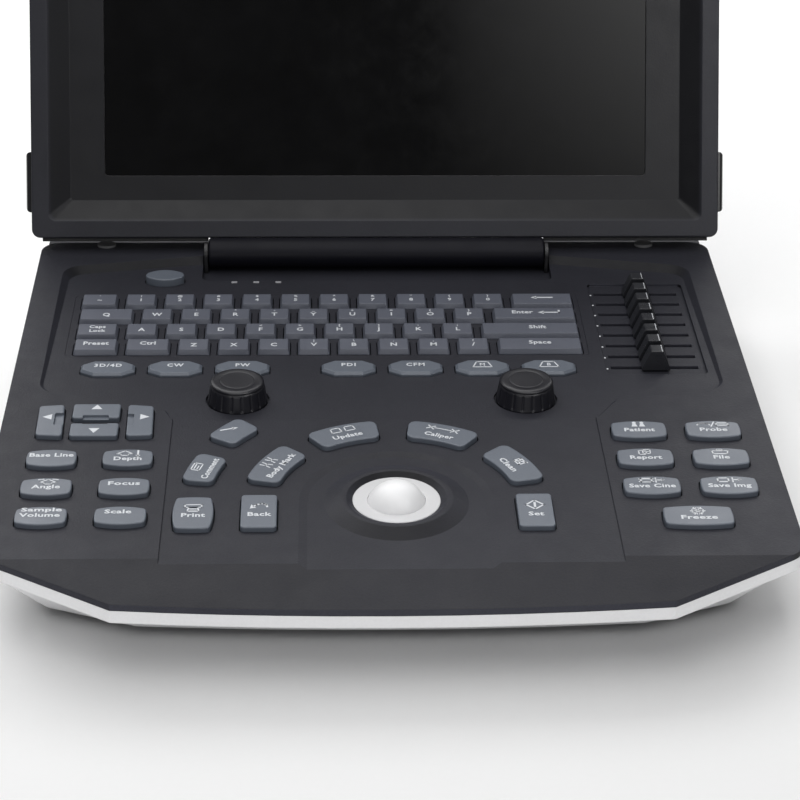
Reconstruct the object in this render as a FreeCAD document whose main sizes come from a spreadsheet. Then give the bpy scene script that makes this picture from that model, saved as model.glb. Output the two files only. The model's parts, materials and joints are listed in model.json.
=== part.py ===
import FreeCAD, Part

import math
import os

from FreeCAD import Placement, Rotation, Vector

# A portable ultrasound scanner: a flat console with a hinged 15 inch display lid.
# Frame: X to the operator's right, Y to the rear, Z up. The origin lies on the table,
# under the middle of the open machine. The console is drawn about its own middle, with
# z = 0 at its underside; the lid is drawn lying flat, screen up, about its hinge axis.
# Each sub-part's Placement then carries it to where it belongs on the machine.

doc = FreeCAD.newDocument("ultrasound_scanner")
sheet = doc.addObject("Spreadsheet::Sheet", "Size")

DIMENSIONS = [
    # the machine on the table
    ("console_y", -65.955, "y of the console's middle"),
    # console housing
    ("half_width", 191.2, "centre line to the console's side"),
    ("rear_edge", 182.5, "y of the deck's rear edge"),
    ("ledge_edge", 188.5, "y of the rear wall, at the low ledge behind the deck"),
    ("ledge_drop", 2.0, "deck to rear ledge"),
    ("ledge_inset", 3.0, "ledge narrower than the deck, each side"),
    ("rear_corner", 11.0, "radius of the deck's rear corners"),
    ("side_corner_y", -151.5, "y where the side turns into the front chamfer"),
    ("side_corner", 15.0, "radius there"),
    ("chamfer_x", 127.0, "x where the front chamfer meets the front bow"),
    ("chamfer_y", -183.6, "y there"),
    ("front_y", -188.0, "y of the front bow's middle"),
    ("deck_top", 42.0, "z of the deck's flat top"),
    ("deck_wall", 3.0, "thickness of the deck shell"),
    ("lip_y", -155.0, "y where the front lip starts to slope down"),
    ("lip_slope", 12.0, "slope of the front lip, degrees"),
    ("band", 6.4, "height of the white band under the deck's edge"),
    ("tub_inset", 26.0, "how far the underside is drawn in"),
    ("housing_wall", 2.5, "thickness of the bottom housing"),
    ("joint_gap", 0.1, "gap in the seam between deck and housing"),
    ("foot_height", 4.0, "height of a rubber foot"),
    ("foot_radius", 9.0, "radius of a rubber foot"),
    ("foot_x", 146.0, "x of the feet"),
    ("foot_front", -122.0, "y of the front feet"),
    ("foot_rear", 165.0, "y of the rear feet"),
    # sunken areas of the deck
    ("well_front", -25.0, "y of the crease between keyboard well and control panel"),
    ("well_drop", 0.9, "depth of the well at that crease"),
    ("well_tilt", 0.9, "tilt of the well's floor, degrees, deeper to the rear"),
    ("well_side", 176.5, "x of the well's side wall"),
    ("well_rear", 164.7, "y of the well's rear wall beside the hinge"),
    ("panel_half", 106.5, "half width of the control panel"),
    ("panel_drop", 0.8, "depth of the control panel"),
    ("arch_drop", 1.6, "depth of the arch around the trackball"),
    ("arch_outer", 46.5, "radius of the arch's upper edge"),
    ("arch_inner", 42.3, "radius of the arch's lower edge"),
    ("ball_x", 3.5, "x of the trackball"),
    ("ball_y", -104.0, "y of the trackball"),
    # keys
    ("key_bottom", 33.3, "z of the keys' lower ends"),
    ("board_top", 31.0, "z of the keypad board's upper face"),
    ("key_gap", 0.5, "gap around a key in its hole"),
    ("key_round", 0.7, "rounding of a key's top edge"),
    ("key_pitch", 21.2, "keyboard pitch along a row"),
    ("cap_width", 17.1, "width of a letter key"),
    ("cap_depth", 14.0, "depth of a keyboard key"),
    ("cap_rise", 2.8, "how far a keyboard key stands above the well's floor"),
    ("row_pitch", 18.4, "keyboard pitch from row to row"),
    ("row_y", 109.3, "y of the number row"),
    ("window_left", -167.0, "keyboard window, left side"),
    ("window_right", 110.3, "keyboard window, right side"),
    ("window_front", 46.0, "keyboard window, front side"),
    ("window_rear", 119.5, "keyboard window, rear side"),
    ("mode_y", 29.2, "y of the mode keys"),
    ("arc_inner", 57.0, "inner radius of the arc keys about the trackball"),
    ("arc_outer", 73.8, "outer radius of the arc keys"),
    # rotary knobs, trackball, slide controls
    ("knob_left_x", -74.6, "x of the left knob"),
    ("knob_right_x", 72.5, "x of the right knob"),
    ("knob_y", -3.3, "y of the knobs"),
    ("knob_radius", 15.3, "radius of a knob's skirt"),
    ("knob_height", 11.3, "height of a knob above the well's floor"),
    ("ball_radius", 14.75, "radius of the trackball"),
    ("ball_rise", 8.8, "how far the ball stands above its ring"),
    ("ring_radius", 21.0, "outer radius of the white ring"),
    ("ring_level", -0.2, "height of the white ring's top from the deck"),
    ("surround_radius", 34.5, "outer radius of the raised surround"),
    ("gain_x", 143.8, "x of the gain sliders at rest"),
    ("gain_front", 34.0, "y of the first gain slot"),
    ("gain_pitch", 12.8, "pitch of the gain slots"),
    ("gain_cap", 7.6, "depth of a gain slider's cap"),
    ("gain_rise", 10.6, "height of a gain slider's cap above the well's floor"),
    ("gain_slot", 46.3, "length of a gain slot"),
    # display lid
    ("hinge_y", 165.95, "y of the hinge axis"),
    ("hinge_z", 43.5, "z of the hinge axis"),
    ("lid_lean", 25.2, "how far the open lid leans back, degrees"),
    ("lid_width", 392.0, "width of the lid"),
    ("lid_bottom", 8.34, "hinge axis to the lid's bottom edge"),
    ("lid_height", 310.0, "height of the lid"),
    ("lid_thick", 22.0, "thickness of the lid"),
    ("bezel_thick", 10.0, "depth of the front bezel"),
    ("bezel_round", 1.0, "rounding of the bezel's outer front edge"),
    ("rim", 9.5, "width of the bezel's flat rim"),
    ("lcd_x", 310.0, "width of the screen opening"),
    ("lcd_y", 234.0, "height of the screen opening"),
    ("lcd_foot", 35.4, "lid's bottom edge to the screen opening"),
    ("barrel_radius", 8.3, "radius of the hinge cover"),
    ("barrel_half", 95.5, "half length of the hinge cover"),
    ("pocket_half", 98.6, "half width of the hinge pocket"),
    ("pocket_front", 139.1, "y of the pocket's front wall"),
    ("pocket_rear", 177.0, "y of the pocket's rear wall"),
    ("pocket_drop", 8.6, "depth of the pocket"),
    ("pin_radius", 2.5, "radius of a hinge pin"),
]

for line, (alias, value, meaning) in enumerate(DIMENSIONS, start=1):
    sheet.set(f"A{line}", meaning)
    sheet.set(f"B{line}", str(value))
    sheet.setAlias(f"B{line}", alias)
doc.recompute()


def size(alias):
    """A driving dimension, in millimetres or degrees."""
    return float(sheet.get(alias))


DECK = size("deck_top")
BALL = Vector(size("ball_x"), size("ball_y"), 0)
nodes = {}


def keep(label, obj):
    """Name a finished console part, carry it to its place and list it for export."""
    obj.Label = label
    obj.setExpression("Placement.Base.y", "Size.console_y")
    obj.setExpression("Placement.Base.z", "Size.foot_height")
    nodes[label] = obj
    return obj


def keep_lid(label, obj):
    """The same for a part of the lid, which is drawn flat about the hinge axis."""
    obj.Placement = Placement(Vector(), Rotation(Vector(1, 0, 0), 90 - size("lid_lean")))
    keep(label, obj)
    obj.setExpression("Placement.Base.y", "Size.console_y + Size.hinge_y")
    obj.setExpression("Placement.Base.z", "Size.foot_height + Size.hinge_z")
    return obj


# ---------------------------------------------------------------- outlines

def rounded(points):
    """A closed outline through corners (x, y, radius)."""
    corners = []
    for i, (x, y, radius) in enumerate(points):
        here = Vector(x, y, 0)
        back = Vector(*points[i - 1][:2], 0) - here
        ahead = Vector(*points[(i + 1) % len(points)][:2], 0) - here
        back.normalize()
        ahead.normalize()
        half = back.getAngle(ahead) / 2
        reach = radius / math.tan(half)
        bisector = (back + ahead).normalize()
        middle = here + bisector * (radius / math.sin(half) - radius)
        corners.append((here + back * reach, middle, here + ahead * reach, radius))
    outline = []
    for i, (start, middle, end, radius) in enumerate(corners):
        if radius:
            outline.append(Part.Arc(start, middle, end))
        following = corners[(i + 1) % len(corners)][0]
        if (following - end).Length > 1e-6:
            outline.append(Part.LineSegment(end, following))
    return outline


def rectangle(x, y, width, depth, radius=0.0):
    """A rectangle centred on x, y."""
    w, d = width / 2, depth / 2
    return rounded([(x - w, y - d, radius), (x + w, y - d, radius),
                    (x + w, y + d, radius), (x - w, y + d, radius)])


def bulged(x, y, width, depth, bulge_x, bulge_y):
    """A rectangle centred on x, y whose sides bow outwards."""
    w, d = width / 2, depth / 2
    corners = [Vector(x - w, y - d, 0), Vector(x + w, y - d, 0),
               Vector(x + w, y + d, 0), Vector(x - w, y + d, 0)]
    bows = [Vector(x, y - d - bulge_y, 0), Vector(x + w + bulge_x, y, 0),
            Vector(x, y + d + bulge_y, 0), Vector(x - w - bulge_x, y, 0)]
    return [Part.Arc(corners[i], bows[i], corners[(i + 1) % 4]) for i in range(4)]


def sector(centre, inner, outer, first, last):
    """A piece of a ring between two radii and two angles in degrees."""
    def at(radius, degrees):
        angle = math.radians(degrees)
        return centre + Vector(radius * math.cos(angle), radius * math.sin(angle), 0)
    middle = (first + last) / 2
    return [Part.Arc(at(inner, last), at(inner, middle), at(inner, first)),
            Part.LineSegment(at(inner, first), at(outer, first)),
            Part.Arc(at(outer, first), at(outer, middle), at(outer, last)),
            Part.LineSegment(at(outer, last), at(inner, last))]


def oval(x, y, width, depth):
    """An oval of four arcs that meet smoothly."""
    rise_y, rise_x = math.tan(math.radians(20)), math.tan(math.radians(25))
    half_x = (width - depth * rise_x) / 2 / (1 - rise_x * rise_y)
    half_y = depth / 2 - half_x * rise_y
    return bulged(x, y, 2 * half_x, 2 * half_y, half_y * rise_x, half_x * rise_y)


def face(outline, z=0.0):
    """A flat face inside an outline."""
    flat = Part.Face(Part.Wire([edge.toShape() for edge in outline]))
    flat.translate(Vector(0, 0, z))
    return flat


def upright(edge):
    """True for a straight edge along Z."""
    ends = edge.Vertexes
    return len(ends) == 2 and abs(edge.BoundBox.ZLength - edge.Length) < 1e-6


def column(outline, low, high, corner=0.0):
    """A straight prism of an outline, with its upright corners rounded."""
    solid = face(outline, low).extrude(Vector(0, 0, high - low))
    edges = [edge for edge in solid.Edges if upright(edge)]
    return solid.makeFillet(corner, edges) if corner and edges else solid


def funnel(wide, narrow, top, bottom):
    """A solid that narrows from one outline at its top to another at its bottom."""
    wires = [face(wide, top).OuterWire, face(narrow, bottom).OuterWire]
    return Part.makeLoft(wires, True, True)


# ---------------------------------------------------------------- features

def at(expression_x, expression_y, expression_z):
    """The three placement expressions of a feature."""
    return {"Placement.Base.x": expression_x,
            "Placement.Base.y": expression_y,
            "Placement.Base.z": expression_z}


def bind(obj, expressions):
    for prop, text in expressions.items():
        obj.setExpression(prop, text)
    return obj


def block(name, width, depth, height, x="0", y="0", z="0"):
    """A box centred on x, y and standing on z; every size is an expression."""
    obj = doc.addObject("Part::Box", name)
    bind(obj, {"Length": width, "Width": depth, "Height": height})
    return bind(obj, at(f"({x}) - ({width}) / 2", f"({y}) - ({depth}) / 2", z))


def rod(name, radius, length, x="0", y="0", z="0", along="Z"):
    """A cylinder from x, y, z along an axis; every size is an expression."""
    obj = doc.addObject("Part::Cylinder", name)
    turns = {"Z": Rotation(), "X": Rotation(Vector(0, 1, 0), 90), "Y": Rotation(Vector(1, 0, 0), -90)}
    obj.Placement = Placement(Vector(), turns[along])
    bind(obj, {"Radius": radius, "Height": length})
    return bind(obj, at(x, y, z))


def group(name, parts):
    """Separate solids of one kind, kept together in one node."""
    obj = doc.addObject("Part::Compound", name)
    obj.Links = parts
    return obj


def fuse(name, parts):
    obj = doc.addObject("Part::MultiFuse", name)
    obj.Shapes = parts
    obj.Refine = True
    return obj


def cut(name, base, tools):
    """The base with every tool taken away."""
    obj = doc.addObject("Part::Cut", name)
    obj.Base = base
    obj.Tool = tools[0] if len(tools) == 1 else group(name + "_tools", tools)
    return obj


def shaped(name, shape):
    """A feature whose shape comes from Part's own functions."""
    obj = doc.addObject("Part::Feature", name)
    obj.Shape = shape
    return obj


def new_body(name):
    return doc.addObject("PartDesign::Body", name)


def sketch(body, name, outlines, height="0", role="XY_Plane"):
    """A sketch on one of the body's own origin planes."""
    obj = body.newObject("Sketcher::SketchObject", name)
    plane = next(f for f in body.Origin.OriginFeatures if f.Role == role)
    obj.AttachmentSupport = (plane, [""])
    obj.MapMode = "FlatFace"
    obj.setExpression("AttachmentOffset.Base.z", height)
    for outline in outlines:
        obj.addGeometry(outline, False)
    return obj


def pad(body, name, profile, length):
    obj = body.newObject("PartDesign::Pad", name)
    obj.Profile = profile
    obj.setExpression("Length", length)
    return obj


def revolution(body, name, profile, axis="V_Axis"):
    obj = body.newObject("PartDesign::Revolution", name)
    obj.Profile = profile
    obj.ReferenceAxis = (profile, [axis])
    obj.Angle = 360
    return obj


def fillet(body, name, base, reach, wanted, kind="Fillet"):
    """Round the base feature's edges that the test picks, or cut them off when kind is Chamfer."""
    doc.recompute()
    edges = base.Shape.Edges
    obj = body.newObject(f"PartDesign::{kind}", name)
    obj.Base = (base, [f"Edge{i}" for i, edge in enumerate(edges, start=1) if wanted(edge)])
    obj.setExpression("Radius" if kind == "Fillet" else "Size", reach)
    return obj


# ---------------------------------------------------------------- console housing

def console(inset=0.0, front_inset=0.0, side_inset=None, corner=None):
    """The console's outline, drawn in from the edge of the deck."""
    side = inset if side_inset is None else side_inset
    x = size("half_width") - side
    front = inset + front_inset
    turn = size("chamfer_x") - 0.3 * side
    turn_y = size("chamfer_y") + front
    corner_y = size("side_corner_y") + front * 0.6
    rear = size("rear_edge") - inset
    round_rear = corner or max(size("rear_corner") - inset, 2.0)
    round_side = corner or max(size("side_corner") - inset, 4.0)
    edges = rounded([(turn, turn_y, 0.0), (x, corner_y, round_side), (x, rear, round_rear),
                     (-x, rear, round_rear), (-x, corner_y, round_side), (-turn, turn_y, 0.0)])
    bow = Part.Arc(Vector(-turn, turn_y, 0), Vector(0, size("front_y") + front, 0),
                   Vector(turn, turn_y, 0))
    return edges[:-1] + [bow]


def above(drop):
    """All the space above the deck's surface, lowered by the given amount."""
    lip_y, reach = size("lip_y"), 200.0
    fall = reach * math.tan(math.radians(size("lip_slope")))
    low = DECK - drop
    corners = [Vector(-250, lip_y - reach, low - fall), Vector(-250, lip_y, low),
               Vector(-250, 250, low), Vector(-250, 250, 120), Vector(-250, lip_y - reach, 120)]
    side = Part.Face(Part.makePolygon(corners + corners[:1]))
    return side.extrude(Vector(500, 0, 0))


def well_floor(y):
    """Height of the well's tilted floor."""
    slope = math.tan(math.radians(size("well_tilt")))
    return DECK - size("well_drop") - slope * (y - size("well_front"))


def above_well(drop=0.0):
    """All the space above the well's tilted floor."""
    corners = [Vector(-250, y, well_floor(y) - drop) for y in (-200.0, 250.0)]
    corners += [Vector(-250, 250, 120), Vector(-250, -200, 120)]
    side = Part.Face(Part.makePolygon(corners + corners[:1]))
    return side.extrude(Vector(500, 0, 0))


def well_outline(inset):
    """The keyboard well, drawn in from its upper edge."""
    side = size("well_side") - inset
    rear = size("well_rear") - inset
    pocket = size("pocket_half")
    front = size("well_front")
    panel = size("panel_half") + 1.0
    corner = 12.0 - inset / 2
    return rounded([(panel, front, 0.0), (119.0 - inset, -7.0 + inset, 3.0),
                    (side, 4.8 + inset, corner), (side, rear - 14.0, corner), (pocket, rear, 1.0),
                    (-pocket, rear, 1.0), (-side, rear - 14.0, corner), (-side, 5.0 + inset, corner),
                    (-111.0 + inset, -16.7 + inset, 3.0), (-panel, front, 0.0)])


def arch_outline(radius):
    """The arch around the trackball: half a circle with straight legs to the lip."""
    x, y = BALL.x, BALL.y
    left, right, top = Vector(x - radius, y, 0), Vector(x + radius, y, 0), Vector(x, y + radius, 0)
    foot = Vector(0, -175.0 - y, 0)
    return [Part.Arc(right, top, left), Part.LineSegment(left, left + foot),
            Part.LineSegment(left + foot, right + foot), Part.LineSegment(right + foot, right)]


def surround():
    """The raised collar around the trackball."""
    inner, outer = size("ring_radius") + 0.05, size("surround_radius")
    low = DECK - size("arch_drop")
    crest = Vector(25.5, 0, DECK + 1.6)
    points = [Vector(inner, 0, low - 2.0), Vector(inner, 0, DECK - 0.4), crest,
              Vector(outer, 0, low), Vector(outer, 0, low - 2.0)]
    rise = Part.LineSegment(points[1], crest - Vector(1.6, 0, 0.25))
    brow = Part.Arc(crest - Vector(1.6, 0, 0.25), crest, crest + Vector(1.6, 0, -0.25))
    fall = Part.LineSegment(crest + Vector(1.6, 0, -0.25), points[3])
    outline = [Part.LineSegment(points[0], points[1]), rise, brow, fall,
               Part.LineSegment(points[3], points[4]), Part.LineSegment(points[4], points[0])]
    ring = Part.Face(Part.Wire([edge.toShape() for edge in outline]))
    ring = ring.revolve(Vector(0, 0, 0), Vector(0, 0, 1), 360)
    ring.translate(BALL)
    return ring


SCREWS = [(-144.5, -95.0), (144.6, -95.0), (-150.0, 143.0), (150.0, 143.0), (3.5, -58.0), (-45.0, 29.2)]
GAIN_ROWS = [size("gain_front") + size("gain_pitch") * i for i in range(8)]
KNOBS = {"knob_left": size("knob_left_x"), "knob_right": size("knob_right_x")}
LEDS = [-80.3, -68.1, -55.7]
ARM_X = 97.0
ARM_WIDTH = 12.0


def disc(x, y, radius, low, high):
    """An upright cylinder."""
    return Part.makeCylinder(radius, high - low, Vector(x, y, low))


def brick(x, y, width, depth, low, high):
    """An upright block centred on x, y."""
    return Part.makeBox(width, depth, high - low, Vector(x - width / 2, y - depth / 2, low))


def deck_relief():
    """Everything that is sunk into the top of the deck."""
    floor = DECK - size("panel_drop")
    high = DECK + 6.0
    well = funnel(well_outline(0.0), well_outline(4.4), DECK + 0.05, DECK - 4.3)
    tools = [well.common(above_well())]
    half = size("panel_half")
    tools.append(column(rectangle(0, (size("well_front") - 190) / 2, 2 * half,
                                  size("well_front") + 190), floor, high))
    arch = funnel(arch_outline(size("arch_outer")), arch_outline(size("arch_inner")),
                  floor + 0.02, DECK - size("arch_drop"))
    tools.append(arch)
    front, rear = size("pocket_front"), size("pocket_rear")
    tools.append(column(rectangle(0, (front + rear) / 2, 2 * size("pocket_half"), rear - front, 5.0),
                        DECK - size("pocket_drop"), high))
    gain = column(rectangle(144.0, 78.8, 53.0, 110.4, 3.0), DECK - 8.0, high)
    tools.append(gain.common(above_well(1.6)))
    for x in KNOBS.values():
        tools.append(disc(x, size("knob_y"), size("knob_radius") + 0.9, well_floor(0) - 1.6, high))
    return tools


def deck_openings():
    """Everything that goes right through the deck."""
    low, high = DECK - 16.0, DECK + 6.0
    gap = 2 * size("key_gap")
    tools = [column(outline(gap), low, high, corner and corner + gap / 2) for outline, corner in CONTROL_KEYS]
    window = rectangle((size("window_left") + size("window_right")) / 2,
                       (size("window_front") + size("window_rear")) / 2,
                       size("window_right") - size("window_left"),
                       size("window_rear") - size("window_front"), 2.0)
    tools.append(column(window, low, high))
    for y in GAIN_ROWS:
        tools.append(brick(143.6, y, size("gain_slot"), 3.4, low, high))
    for x in KNOBS.values():
        tools.append(disc(x, size("knob_y"), 4.5, low, high))
    tools.append(disc(BALL.x, BALL.y, size("ring_radius") + 0.05, low, high))
    for x in LEDS:
        tools.append(brick(x, 137.2, 3.4, 2.3, low, high))
    for side in (-1, 1):
        tools.append(brick(side * ARM_X, size("hinge_y"), 2.2, ARM_WIDTH + 1.0, low, DECK - 6.0))
    return tools


def top_deck():
    """The dark upper shell with its sunken keyboard well, panels and hinge pocket."""
    skin = size("deck_wall")
    slab = column(console(), 0.0, DECK).cut(above(0.0)).common(above(skin + 0.2))
    pans = [column(well_outline(-2.0), DECK - 7.2, DECK - 1.0)]
    middle = (size("pocket_front") + size("pocket_rear")) / 2
    pans.append(column(rectangle(0, middle, 2 * size("pocket_half") + 6,
                                 size("pocket_rear") - size("pocket_front") + 6),
                       DECK - size("pocket_drop") - 2.4, DECK - 1.0))
    shell = slab.fuse(pans)
    bosses = [disc(x, y, 3.5, 10.0, DECK - 3.0) for x, y in SCREWS]
    shell = shell.fuse(bosses).cut(deck_relief())
    shell = shell.fuse(surround()).cut(deck_openings())
    shell = shell.cut([disc(x, y, 1.55, 9.0, 22.0) for x, y in SCREWS])
    ledge = brick(0, size("rear_edge") + 2.9, 2 * (size("half_width") - size("ledge_inset")),
                  2 * (size("ledge_edge") - size("rear_edge") - 2.9), DECK - 6.0, DECK - size("ledge_drop"))
    ledge = ledge.common(above(skin + 0.2))
    return keep("top_deck", shaped("Top_deck", shell.fuse(ledge).removeSplitter()))


REAR_WALL = size("ledge_edge")
IO_PANEL = (-95.0, 118.0, 22.0)
SOCKETS = [58.0, 128.0]
SOCKET_SIZE = (62.0, 19.0)
PANEL_Z = 18.0


def housing_body(inset, low):
    """The outer or inner volume of the bottom housing."""
    seam = size("deck_wall") + 0.2 + size("joint_gap")
    band = column(console(inset), 15.0, DECK).cut(above(seam)).common(above(seam + size("band")))
    tub = funnel(console(inset + 1.0, 2.0), console(inset + 2.0, 34.0, size("tub_inset") + inset, 8.0),
                 33.0, low)
    tub = tub.cut(above(seam + 0.5))
    rear = brick(0, REAR_WALL - inset - 15.0, 330.0 - 2 * inset, 30.0, low, DECK - 5.4)
    return band.fuse([tub, rear])


def bottom_housing():
    """The pale lower shell: an upright band under the deck's edge and a tapered tub."""
    wall = size("housing_wall")
    shell = housing_body(0.0, 0.0).cut(housing_body(wall, wall))
    shell = shell.fuse([disc(x, y, 4.5, 0.5, 9.9) for x, y in SCREWS])
    tools = [disc(x, y, 1.75, -1.0, 11.0) for x, y in SCREWS]
    tools += [disc(x, y, 3.3, -1.0, 3.0) for x, y in SCREWS]
    panel_x, panel_width, panel_height = IO_PANEL
    tools.append(brick(panel_x, REAR_WALL, panel_width, 20.0,
                       PANEL_Z - panel_height / 2, PANEL_Z + panel_height / 2))
    width, height = SOCKET_SIZE
    for x in SOCKETS:
        tools.append(brick(x, REAR_WALL, width, 20.0, PANEL_Z - height / 2, PANEL_Z + height / 2))
    tools.append(column(rectangle(*BATTERY_BAY, 4.0), -1.0, 1.7))
    for i in range(9):
        tools.append(column(rectangle(-100.0, 80.0 + 5.0 * i, 44.0, 2.2, 1.0), -1.0, 3.0))
    for side in (-1, 1):
        for i in range(5):
            tools.append(column(rectangle(side * 100.0, -138.0 + 5.0 * i, 26.0, 2.0, 0.9), -1.0, 3.0))
    return keep("bottom_housing", shaped("Bottom_housing", shell.cut(tools)))


BATTERY_BAY = (-75.0, -40.0, 112.0, 92.0)


def housing_details():
    """Feet, screws and the battery's cover on the underside."""
    feet = []
    for i, (x, y) in enumerate([("-", "front"), ("", "front"), ("-", "rear"), ("", "rear")]):
        feet.append(rod(f"Foot{i}", "Size.foot_radius", "Size.foot_height",
                        f"{x}Size.foot_x", f"Size.foot_{y}", "-Size.foot_height"))
    keep("rubber_feet", group("Rubber_feet", feet))
    screws = []
    for i, (x, y) in enumerate(SCREWS):
        head = rod(f"Screw_head{i}", "2.9", "2", f"{x}", f"{y}", "0.9")
        shank = rod(f"Screw_shank{i}", "1.5", "18", f"{x}", f"{y}", "2.9")
        driver = rod(f"Screw_socket{i}", "1.2", "1.2", f"{x}", f"{y}", "0.9")
        screws.append(cut(f"Screw{i}", fuse(f"Screw_body{i}", [head, shank]), [driver]))
    keep("housing_screws", group("Housing_screws", screws))
    x, y, width, depth = BATTERY_BAY
    cover = new_body("Battery_cover")
    outline = sketch(cover, "Cover_outline", [rectangle(x, y, width - 0.6, depth - 0.6, 3.8)])
    plate = pad(cover, "Cover_plate", outline, "1.6")
    grip = sketch(cover, "Grip_outline", [rectangle(x, y + 32.0 + 4.0 * i, 30.0, 1.6, 0.7) for i in range(3)],
                  "0.8")
    groove = cover.newObject("PartDesign::Pocket", "Grip_grooves")
    groove.Profile = grip
    groove.Length = 3.0
    doc.recompute()
    if abs(cover.Shape.Volume - plate.Shape.Volume) < 1.0:
        groove.Reversed = True
    keep("battery_cover", cover)
    pack = block("Battery_case", "106", "86", "19", f"{x}", f"{y}", "2.7")
    lug = block("Battery_contacts", "24", "6", "8", f"{x}", f"{y + 45.5}", "6")
    keep("battery_pack", fuse("Battery_pack", [pack, lug]))


# ---------------------------------------------------------------- keys

def oblong(x, y, width, depth, bulge_x=0.6, bulge_y=2.1):
    """A barrel shaped key; the result takes the amount to grow by."""
    return lambda grow: bulged(x, y, width - 2 * bulge_x + grow, depth - 2 * bulge_y + grow, bulge_x, bulge_y)


def plain(x, y, width, depth):
    return lambda grow: rectangle(x, y, width + grow, depth + grow)


def ring_key(inner, outer, first, last):
    """A key that follows a circle about the trackball."""
    def outline(grow):
        spread = math.degrees(grow / 2 / inner)
        return sector(BALL, inner - grow / 2, outer + grow / 2, first - spread, last + spread)
    return outline


def arrow_key(points):
    """A four-sided key; growing pushes its corners away from its middle."""
    middle = sum((Vector(x, y, 0) for x, y in points), Vector()) * (1 / len(points))

    def outline(grow):
        corners = []
        for x, y in points:
            shift_x = math.copysign(grow / 2, x - middle.x)
            shift_y = math.copysign(grow / 2, y - middle.y)
            corners.append((x + shift_x, y + shift_y, 0.0))
        return rounded(corners)
    return outline


def octagon(x, y, width, depth):
    """A long key with cut-off ends."""
    def outline(grow):
        w, d, long, short = (width + grow) / 2, (depth + grow) / 2, 6.6, 4.2
        return rounded([(x - w + long, y - d, 0.0), (x + w - long, y - d, 0.0), (x + w, y - d + short, 0.0),
                        (x + w, y + d - short, 0.0), (x + w - long, y + d, 0.0), (x - w + long, y + d, 0.0),
                        (x - w, y + d - short, 0.0), (x - w, y - d + short, 0.0)])
    return outline


INNER, OUTER = size("arc_inner"), size("arc_outer")
KEY_GROUPS = {
    "power_button": ([lambda grow: oval(-119.0, 138.3, 21.4 + grow, 13.0 + grow)], 0.9, 0.0),
    "cursor_left_key": ([arrow_key([(-173.6, -15.8), (-161.1, -14.3), (-159.9, -46.1), (-173.1, -45.0)])],
                        2.5, 2.0),
    "cursor_right_key": ([arrow_key([(-129.1, -14.5), (-116.3, -16.2), (-115.4, -45.5), (-128.4, -46.3)])],
                         2.5, 2.0),
    "cursor_up_key": ([plain(-144.65, -20.95, 23.7, 14.3)], 2.5, 1.6),
    "cursor_down_key": ([plain(-144.55, -39.8, 23.9, 12.8)], 2.5, 1.6),
    "parameter_keys": ([oblong(x, y, 24.4, 16.0) for y in (-67.7, -94.8, -121.2) for x in (-162.9, -126.0)],
                       2.5, 2.0),
    "file_keys": ([oblong(x, y, 27.5, 16.6) for y in (-41.8, -69.1, -96.1) for x in (126.1, 163.2)],
                  2.5, 2.0),
    "freeze_key": ([oblong(144.6, -123.7, 33.0, 17.4, 0.6, 1.5)], 2.5, 2.0),
    "print_key": ([oblong(-92.3, -117.8, 19.3, 28.2, 1.5, 0.6)], 1.7, 2.0),
    "back_key": ([plain(-61.5, -116.6, 17.0, 29.4)], 1.7, 2.0),
    "set_key": ([plain(68.5, -116.6, 17.0, 29.4)], 1.7, 2.0),
    "arc_keys": ([ring_key(INNER, OUTER, 96.5, 126.0), ring_key(INNER, OUTER, 137.5, 167.0),
                  ring_key(INNER, OUTER, 54.0, 83.5), ring_key(INNER, OUTER, 13.0, 42.5),
                  ring_key(88.5, 104.0, 156.0, 171.0), ring_key(93.0, 109.0, 135.0, 147.5)], 1.7, 4.0),
    "mode_keys": ([octagon(x, size("mode_y"), 28.2, 14.8)
                   for x in (-142.9, -108.0, -73.0, -17.6, 17.4, 52.4, 87.3)], 0.6, 0.0),
}
CONTROL_KEYS = [(outline, corner) for outlines, _, corner in KEY_GROUPS.values() for outline in outlines]

PITCH = size("key_pitch")
CAP = size("cap_width")


def letters(first, count):
    """The left and right edges of a run of letter keys."""
    return [(first + PITCH * i - CAP / 2, first + PITCH * i + CAP / 2) for i in range(count)]


KEY_ROWS = {
    "number_row_keys": [(-163.1, -143.3)] + letters(-130.6, 10) + [(73.2, 107.1)],
    "upper_row_keys": [(-162.8, -133.5)] + letters(-120.8, 9) + [(61.8, 107.1)],
    "home_row_keys": [(-162.8, -140.7)] + letters(-128.0, 9) + [(54.4, 107.1)],
    "lower_row_keys": [(-162.8, -139.5), (-135.4, -111.9)] + letters(-99.35, 8) + [(62.2, 107.1)],
}
ROW_Y = {label: size("row_y") - size("row_pitch") * i for i, label in enumerate(KEY_ROWS)}


SCOOPS = {"cursor_left_key": (-161.0, -29.2, 8.0, 12.0), "cursor_right_key": (-129.0, -30.4, 7.0, 12.0),
          "cursor_up_key": (-144.6, -28.0, 13.0, 5.0), "cursor_down_key": (-144.6, -33.4, 13.0, 2.4)}


def scoop(body, label, top):
    """A shallow finger recess in the edge that faces the middle of the cursor keys."""
    x, y, width, depth = SCOOPS[label]
    profile = sketch(body, label + "_scoop_outline", [rectangle(x, y, width, depth, 1.0)], f"{top}")
    doc.recompute()
    whole = body.Tip.Shape.Volume
    pocket = body.newObject("PartDesign::Pocket", label + "_scoop")
    pocket.Profile = profile
    pocket.Length = 1.3
    doc.recompute()
    if abs(pocket.Shape.Volume - whole) < 1.0:
        pocket.Reversed = True


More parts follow.
